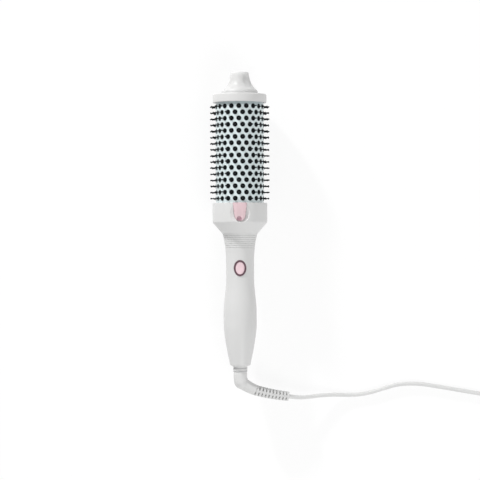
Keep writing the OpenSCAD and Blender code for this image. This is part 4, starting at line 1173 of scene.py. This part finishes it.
        # Rings on the plug's relief, which widens towards the body
        for rank in range(5):
            y = PLUG_Y + 3.4 + 3.1 * rank
            r = 2.8 + 1.8 * (y - PLUG_Y) / 18 + 0.35
            ring = [(PLUG_X + (r + 0.35 * math.cos(b)) * math.cos(a), y + 0.75 * math.sin(b),
                     PLUG_Z + (r + 0.35 * math.cos(b)) * math.sin(a))
                    for a in circle(24) for b in circle(8)]
            faces = [(i * 8 + j, i * 8 + k, (i + 1) % 24 * 8 + k, (i + 1) % 24 * 8 + j)
                     for i in range(24) for j, k in zip(range(8), (*range(1, 8), 0))]
            extras.append(new_piece("relief_ring", ring, faces, "plug_white"))
            recalc(extras[-1].data)
            soften(extras[-1].data)
        made = join_into(body, extras)
        made.data.materials.clear()
        made.data.materials.append(FINISHES["plug_white"])
        soften(made.data, 40)
        return settle(made, "cord_side", "plug_white", "plug_body")

    def make_blades(self):
        """Two flat blades, each with its hole"""
        made = copy_of("plug_blades", "plug_pins", "blade_metal")
        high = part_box("plug_blades")[1].y / MM
        hole = []
        for x in (PLUG_X - 6.35, PLUG_X + 6.35):
            outline = disc(high - 4.2, PLUG_Z, 1.6)
            n = len(outline)
            points = [(x + s, y, z) for s in (-2, 2) for y, z in outline]
            faces = [tuple(range(n)), tuple(range(n, 2 * n))]
            faces += [(k, (k + 1) % n, n + (k + 1) % n, n + k) for k in range(n)]
            drill = new_piece("drill", points, faces, None)
            recalc(drill.data)
            hole.append(drill)
        cut(made, *hole)
        round_edges(made, 0.0003, 40, 2)
        return settle(made, "cord_side", "blade_metal", "plug_blades")


class ROUNDBRUSH_OT_bristles(bpy.types.Operator):
    """Makes the ten strips of ball-ended bristles and the lips of the perforations"""
    bl_idname = "round_brush.bristles"
    bl_label = "Bristles"

    def execute(self, context):
        sizes = context.scene.round_brush_sizes
        pattern = {
            "Rows": ROWS_PER_COLUMN, "Column pitch": 2 * math.pi / COLUMNS, "Phase": PHASE,
            "First row": FIRST_ROW * MM, "Row pitch": ROW_PITCH * MM, "Axis height": AXIS_Z * MM,
            "Barrel radius": BARREL_R * MM}
        tree = bristle_tree()
        per_strip = COLUMNS // STRIPS
        for i in range(STRIPS):
            node = f"bristle_strip_{i + 1:02d}"
            points, faces = self.backing(node, i, per_strip)
            made = grow(f"bristles_{i + 1:02d}", tree, {
                **pattern, "First column": i * per_strip, "Columns": per_strip,
                "Foot radius": (STRIP_R - 0.2) * MM, "Foot width": sizes.foot_width,
                "Foot height": sizes.foot_height, "Bristle width": sizes.pin_width,
                "Reach": sizes.pin_reach, "Ball width": sizes.ball_width, "Lean": sizes.pin_lean,
                "Seed": i + 1, "Material": FINISHES["bristle_black"]}, points=points, faces=faces)
            settle(made, "brush", "bristle_black", node)
        lips = grow("perforation_lips", lip_tree(), {
            **pattern, "First column": 0, "Columns": COLUMNS, "Lip radius": 2.75 * MM,
            "Lip width": sizes.lip_width, "Material": FINISHES["ceramic_coat"]})
        settle(lips, "brush", "ceramic_coat")
        return {"FINISHED"}

    @staticmethod
    def backing(node, i, per_strip):
        """Curved backing of one strip, between its CAD node's ends"""
        low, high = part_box(node)
        y0, y1 = low.y / MM, high.y / MM
        start = math.degrees(PHASE) + (i * per_strip - 0.5) * 360 / COLUMNS + 0.4
        loop = [(y0, STRIP_R - STRIP_T), (y0, STRIP_R), (y1, STRIP_R), (y1, STRIP_R - STRIP_T)]
        return lathe(loop, 16, start, per_strip * 360 / COLUMNS - 0.8)


class ROUNDBRUSH_OT_head(bpy.types.Operator):
    """Makes the cool tip, the end cap and the collar with its dish"""
    bl_idname = "round_brush.head"
    bl_label = "Tip, cap and collar"

    def execute(self, context):
        sizes = context.scene.round_brush_sizes
        self.make_tip()
        self.make_cap()
        self.make_collar(sizes)
        return {"FINISHED"}

    def make_tip(self):
        """Finger grip: a waisted cone with a flat end and three scoops"""
        knots = [(TIP, 19.7), (TIP + 1, 19.5), (TIP + 3.4, 18.7), (TIP + 6, 16.5), (TIP + 9, 13.6),
                 (TIP + 12.5, 11.8), (TIP + 16, 10.8), (TIP + 19.5, 10.1), (TIP + 21.9, 9.7),
                 (TIP + 23.1, 9.2), (TIP_END, 8.4)]
        line = smooth_path([(y, r, 0) for y, r in knots], 0.45)
        columns = 144
        angles = circle(columns)
        # Foot that sits in the cap, the grip, and the slight crown of its flat end
        rings = [(TIP - 2.9, [TIP_FOOT_R] * columns), (TIP, [TIP_FOOT_R] * columns)]
        rings += [(y, [self.scooped(y, r, angle) for angle in angles]) for y, r, _ in line]
        rings.append((TIP_END + 0.1, [r * 0.9 for r in rings[-1][1]]))
        points = [(r * math.sin(a), y, AXIS_Z + r * math.cos(a))
                  for y, radii in rings for a, r in zip(angles, radii)]
        faces = [(i + c, i + (c + 1) % columns, i + columns + (c + 1) % columns, i + columns + c)
                 for i in range(0, len(points) - columns, columns) for c in range(columns)]
        faces += [tuple(range(columns)), tuple(range(len(points) - columns, len(points)))]
        made = new_piece("finger_tip", points, faces, "tip_white")
        recalc(made.data)
        soften(made.data, 40)
        settle(made, "brush", "tip_white", "cool_tip")

    @staticmethod
    def scooped(station, radius, angle):
        """Radius of the tip at a place, where a scoop may have taken some of it"""
        for scoop in SCOOPS:
            along = SCOOP_REACH * math.cos(angle - scoop)
            inside = along ** 2 - (SCOOP_REACH ** 2 + (station - SCOOP_Y) ** 2 - SCOOP_R ** 2)
            near = along - math.sqrt(inside) if along > 0 and inside > 0 else math.inf
            if near < radius + 0.25:
                blend = min(1.0, (radius - near) / 0.5 + 0.5)
                radius += (near - radius) * blend
        return radius

    def make_cap(self):
        """Ring that closes the barrel, with a recess for the tip"""
        corners = [(CAP - 2.9, 2), (CAP - 2.9, 23.7), (CAP + 3.1, 23.7), (CAP + 3.1, SEAT_R), (CAP, SEAT_R),
                   (CAP, CAP_R), (TIP, CAP_R), (TIP, 20.3), (TIP - 0.5, 20.0), (TIP - 0.5, 16.6),
                   (TIP - 3, 16.6), (TIP - 3, 2)]
        radii = [0, 0.3, 0, 0, 0.3, 0.7, 1.5, 0.3, 0, 0, 0, 0]
        made = turned_piece("cap_ring", rounded(corners, radii, 6), "cap_white", 30)
        settle(made, "brush", "cap_white", "end_cap")

    def make_collar(self, sizes):
        """Straight part and cone, with the thumb's dish and the tongue's pocket and stem hole"""
        corners = [(NECK, 16.7), (NECK, NECK_R + 0.1), (CONE_TOP, COLLAR_R), (HEAD, COLLAR_R),
                   (HEAD, SEAT_R), (HEAD - 3, SEAT_R), (HEAD - 3, 23.2), (CONE_TOP + 2.6, 23.2),
                   (NECK + 8, 16.7)]
        radii = [0, 0.3, 1.2, 0.7, 0.2, 0, 0, 1, 0]
        made = turned_piece("collar_shell", rounded(corners, radii, 6), "handle_white", 30, segments=192)
        dish_r, dish_depth = 17, 3.2
        dish = ball("dish", (0, HEAD - 11.2, AXIS_Z + COLLAR_R - dish_depth + dish_r), dish_r,
                    (1.67, 1, 1), 96)
        # The pocket's floor follows the barrel, clear of the tongue when it is pressed
        low, high = HEAD - 30, HEAD + 4
        floor = turned_piece("pocket_floor", [(low, 1), (low, POCKET_R), (high, POCKET_R), (high, 1)],
                             None, segments=192)
        pocket = cut(prism("pocket", tongue_outline(POCKET_GAP), 20, 32), floor)
        stem = prism("stem", disc(0, STEM_Y, 2 + POCKET_GAP), 18, 30)
        cut(made, dish, pocket, stem)
        round_edges(made, sizes.edge_round * 0.7, 30, 3, 30)
        settle(made, "brush", "handle_white", "collar")


class ROUNDBRUSH_OT_handle(bpy.types.Operator):
    """Makes the two handle shells, with the fine grooves of the neck"""
    bl_idname = "round_brush.handle"
    bl_label = "Handle"

    def execute(self, context):
        sizes = context.scene.round_brush_sizes
        profile = self.shell_profile(sizes.groove_depth / MM)
        front = turned_piece("handle_front_shell", profile, "handle_white", 25,
                             segments=96, start=-89.8, sweep=179.6, dip=0.12)
        rear = turned_piece("handle_rear_shell", profile, "handle_white", 25,
                            segments=96, start=90.2, sweep=179.6, dip=0.12)
        cut(front, prism("window", oval(13.2, 16.8), 5, 25))
        drills = []
        for y in (NECK - 6, HANDLE_END + 27):
            for r, top in ((1.5, -8.0), (2.7, 4.5 - handle_radius(NECK - y))):
                drills.append(prism("drill", disc(0, y, r, 32), -24, top))
        cut(rear, *drills)
        for made, node in ((front, "handle_front"), (rear, "handle_rear")):
            round_edges(made, 0.00015, 40, 2, 25)
            settle(made, "brush", "handle_white", node)
        return {"FINISHED"}

    @staticmethod
    def shell_profile(depth):
        """Closed loop of (station, radius): outer line with the neck's grooves, then the inner line"""
        grooves, first, pitch, width = 7, 1.9, 2.15, 0.8
        line = [(NECK + 7.9, 16.5), (NECK, 16.5), (NECK, NECK_R)]
        s = 0.25
        while s < HANDLE_LEN - END_ROUND:
            bite = 0.0
            for k in range(grooves):
                away = abs(s - first - k * pitch) / (width / 2)
                if away < 1:
                    bite = depth * (0.5 + 0.5 * math.cos(math.pi * away))
            line.append((NECK - s, handle_radius(s) - bite))
            s += 0.2 if s < first + grooves * pitch else 1.3
        for k in range(9):
            a = math.pi / 2 * k / 8
            line.append((HANDLE_END + END_ROUND * (1 - math.sin(a)), END_R - END_ROUND * (1 - math.cos(a))))
        line += [(HANDLE_END, 7.7), (HANDLE_END + 3, 7.7), (HANDLE_END + 3, 8.8), (HANDLE_END + 7, 8.8)]
        s = HANDLE_LEN - 7
        while s > 8:
            line.append((NECK - s, handle_radius(s) - WALL))
            s -= 4
        line += [(NECK - 4, 13.6), (NECK + 7.9, 13.6)]
        return line


class ROUNDBRUSH_OT_buttons(bpy.types.Operator):
    """Makes the power button, its ring, and the release tongue"""
    bl_idname = "round_brush.buttons"
    bl_label = "Buttons"

    def execute(self, context):
        sizes = context.scene.round_brush_sizes
        button = copy_of("power_button", "power_key", "button_pink")
        round_edges(button, sizes.edge_round, 35, 4)
        cut(button, ball("press", (0, POWER_Y, AXIS_Z + WAIST_R + 21.4), 21.6, segments=72))
        soften(button.data, 40)
        settle(button, "power_button", "button_pink", "power_button")

        bezel = copy_of("button_bezel", "power_ring", "bezel_mauve")
        round_edges(bezel, sizes.edge_round, 35, 4)
        settle(bezel, "brush", "bezel_mauve", "button_bezel")

        tongue = copy_of("release_button", "release_tongue", "tongue_pink")
        top = AXIS_Z + TONGUE_R
        notches = [ball("notch", (s * 6.1, HEAD - 9.4, top - 0.4), 1.3, (0.6, 1.2, 0.8), 24)
                   for s in (-1, 1)]
        dimple = ball("dimple", (-0.8, HEAD - 16.9, top - 0.95 + 4.4), 4.4, segments=40)
        cut(tongue, dimple, *notches)
        round_edges(tongue, sizes.edge_round * 0.8, 38, 3)
        settle(tongue, "release_button", "tongue_pink", "release_button")
        return {"FINISHED"}


class ROUNDBRUSH_OT_swivel(bpy.types.Operator):
    """Makes the swivel stub with its two grey seals"""
    bl_idname = "round_brush.swivel"
    bl_label = "Swivel"

    def execute(self, context):
        y = STUB_END
        bush = HANDLE_END + 3
        corners = [(y, 0.4), (y, 6.9), (y + 1.6, 6.9), (y + 1.6, 7.4), (y + 3.6, 7.4), (y + 3.6, 6.9),
                   (y + 4.8, 6.9), (y + 4.8, 7.4), (bush - 0.3, 7.4), (bush - 0.3, 6.0),
                   (bush + 4.3, 6.0), (bush + 4.3, 7.6), (bush + 6.3, 7.6), (bush + 6.3, 3.4),
                   (bush + 17.9, 3.4), (bush + 17.9, 0.4)]
        radii = [0, 0, 0, 0.25, 0.25, 0, 0, 0.2, 0, 0, 0, 0.3, 0.3, 0, 0.2, 0]
        stub = turned_piece("swivel_stub", rounded(corners, radii, 4), "cord_white", 35, segments=96)
        settle(stub, "cord_side", "cord_white", "swivel_rotor")
        loops = []
        for low, high in ((y + 0.25, y + 1.6), (y + 3.6, y + 4.8)):
            middle, half = (low + high) / 2, (high - low) / 2
            loops.append([(middle + half * math.cos(a), 7.0 + 0.36 * math.sin(a)) for a in circle(12)])
        seals = [turned_piece("seal", loop, "seal_grey", 60, segments=96) for loop in loops]
        made = join_into(seals[0], seals[1:])
        made.name = "swivel_seals"
        settle(made, "cord_side", "seat_dark")
        return {"FINISHED"}


class ROUNDBRUSH_OT_insides(bpy.types.Operator):
    """Makes the springs and leads inside, and gives every CAD node that stays its finish"""
    bl_idname = "round_brush.insides"
    bl_label = "Inside parts"

    KEPT = {
        "barrel": "ceramic_coat", "tip_screws": "steel", "inner_sleeve": "plain_aluminium",
        "heat_block_upper": "plain_aluminium", "heat_block_lower": "plain_aluminium",
        "ptc_stones": "ptc_ceramic", "electrode_plates": "contact_brass", "insulation_film": "film_amber",
        "thermal_fuse": "fuse_body", "heat_sensor": "fuse_body",
        "tie_rods": "steel", "tie_washers": "steel",
        "head_seat": "seat_dark", "handle_screws": "steel", "circuit_board": "board_green",
        "board_screws": "steel", "board_parts": "part_black", "key_switch": "part_black",
        "swivel_bush": "part_black", "contact_springs": "contact_brass", "slip_rings": "contact_brass",
    }

    def execute(self, context):
        for node, slot in self.KEPT.items():
            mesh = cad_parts[node].data
            mesh.materials.clear()
            mesh.materials.append(FINISHES[slot])
        self.make_spring("tongue_spring", "release_spring", STEM_Y, 2.8, 0.3, 5,
                         "release_press", 46.35, 1.0)
        self.make_spring("key_spring", "power_spring", POWER_Y, 4.9, 0.25, 3, "power_press", 34.25, 0.8)
        self.make_leads()
        return {"FINISHED"}

    def make_spring(self, name, node, y, radius, wire, turns, joint, fixed_z, travel):
        """Wound spring in the box of its CAD node"""
        low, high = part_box(node)
        z0, z1 = low.z / MM + wire, high.z / MM - wire
        flat = disc(0, y, radius)
        steps = turns * len(flat)
        path = [Vector((*flat[i % len(flat)], z0 + (z1 - z0) * i / steps)) for i in range(steps + 1)]
        made = tube_piece(name, path, wire, "steel", 8)
        settle(made, "brush", "steel", node)
        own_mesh(made)

    def make_leads(self):
        """Round insulated wires along the routes of the CAD leads"""
        for name, node, slot, routes, radius in (
                ("heater_wires", "heater_leads", "wire_red", [
                    [(s * 6, 27.1, AXIS_Z + s * 2.5), (s * 6, 25.1, AXIS_Z + s * 2.5),
                     (s * 6, 21, AXIS_Z), (s * 6, 14, AXIS_Z), (s * 6, -14, AXIS_Z + 4.2),
                     (s * 6, -25, AXIS_Z + 4.2)] for s in (-1, 1)], 0.8),
                ("supply_wires", "supply_leads", "wire_blue", [
                    [(s * 7, -127.3, AXIS_Z - 2), (s * 7, -125.3, AXIS_Z - 2),
                     (s * 6, -119.2, AXIS_Z + 4.4), (s * 6, -110.2, AXIS_Z + 4.2)] for s in (-1, 1)], 0.8)):
            wires = [tube_piece(name, smooth_path(route, 2), radius, slot, 12) for route in routes]
            made = join_into(wires[0], wires[1:])
            made.name = name
            settle(made, "brush", slot, node)
        route = [(-14.1, 62.82, AXIS_Z), (-14.1, 25.1, AXIS_Z), (-8.1, 23.1, AXIS_Z + 6),
                 (-4, 21, AXIS_Z + 8), (-4, 14, AXIS_Z + 8), (-4, -18, AXIS_Z + 5.4), (-4, -24, AXIS_Z + 4)]
        made = tube_piece("sensor_wire", smooth_path(route, 2), 0.6, "wire_yellow", 10)
        settle(made, "brush", "wire_yellow", "sensor_leads")


# Panel

class ROUNDBRUSH_PT_panel(bpy.types.Panel):
    """Lists the pieces of the round brush"""
    bl_label = "Heated round brush"
    bl_idname = "ROUNDBRUSH_PT_panel"
    bl_space_type = "VIEW_3D"
    bl_region_type = "UI"
    bl_category = "Round brush"

    def draw(self, context):
        layout = self.layout
        scene = context.scene
        for group in (scene.round_brush_sizes, scene.round_brush_colours, scene.round_brush_stage):
            box = layout.box()
            for name in group.bl_rna.properties.keys():
                if name not in {"rna_type", "name"}:
                    box.prop(group, name)
        for operator in OPERATORS:
            layout.operator(operator.bl_idname)


OPERATORS = (ROUNDBRUSH_OT_stage, ROUNDBRUSH_OT_cord, ROUNDBRUSH_OT_head, ROUNDBRUSH_OT_bristles,
             ROUNDBRUSH_OT_handle, ROUNDBRUSH_OT_buttons, ROUNDBRUSH_OT_swivel, ROUNDBRUSH_OT_insides)
GROUPS_OF_SETTINGS = {"round_brush_sizes": RoundBrushSizes, "round_brush_colours": RoundBrushColours,
                      "round_brush_stage": RoundBrushStage}


def register():
    for made in (*GROUPS_OF_SETTINGS.values(), *OPERATORS, ROUNDBRUSH_PT_panel):
        bpy.utils.register_class(made)
    for name, group in GROUPS_OF_SETTINGS.items():
        setattr(bpy.types.Scene, name, bpy.props.PointerProperty(type=group))


def unregister():
    for name in GROUPS_OF_SETTINGS:
        delattr(bpy.types.Scene, name)
    for made in reversed((*GROUPS_OF_SETTINGS.values(), *OPERATORS, ROUNDBRUSH_PT_panel)):
        bpy.utils.unregister_class(made)


def main():
    register()
    make_finishes(bpy.context.scene.round_brush_colours)
    for operator in OPERATORS:
        group, name = operator.bl_idname.split(".")
        getattr(getattr(bpy.ops, group), name)()


if __name__ == "__main__":
    main()
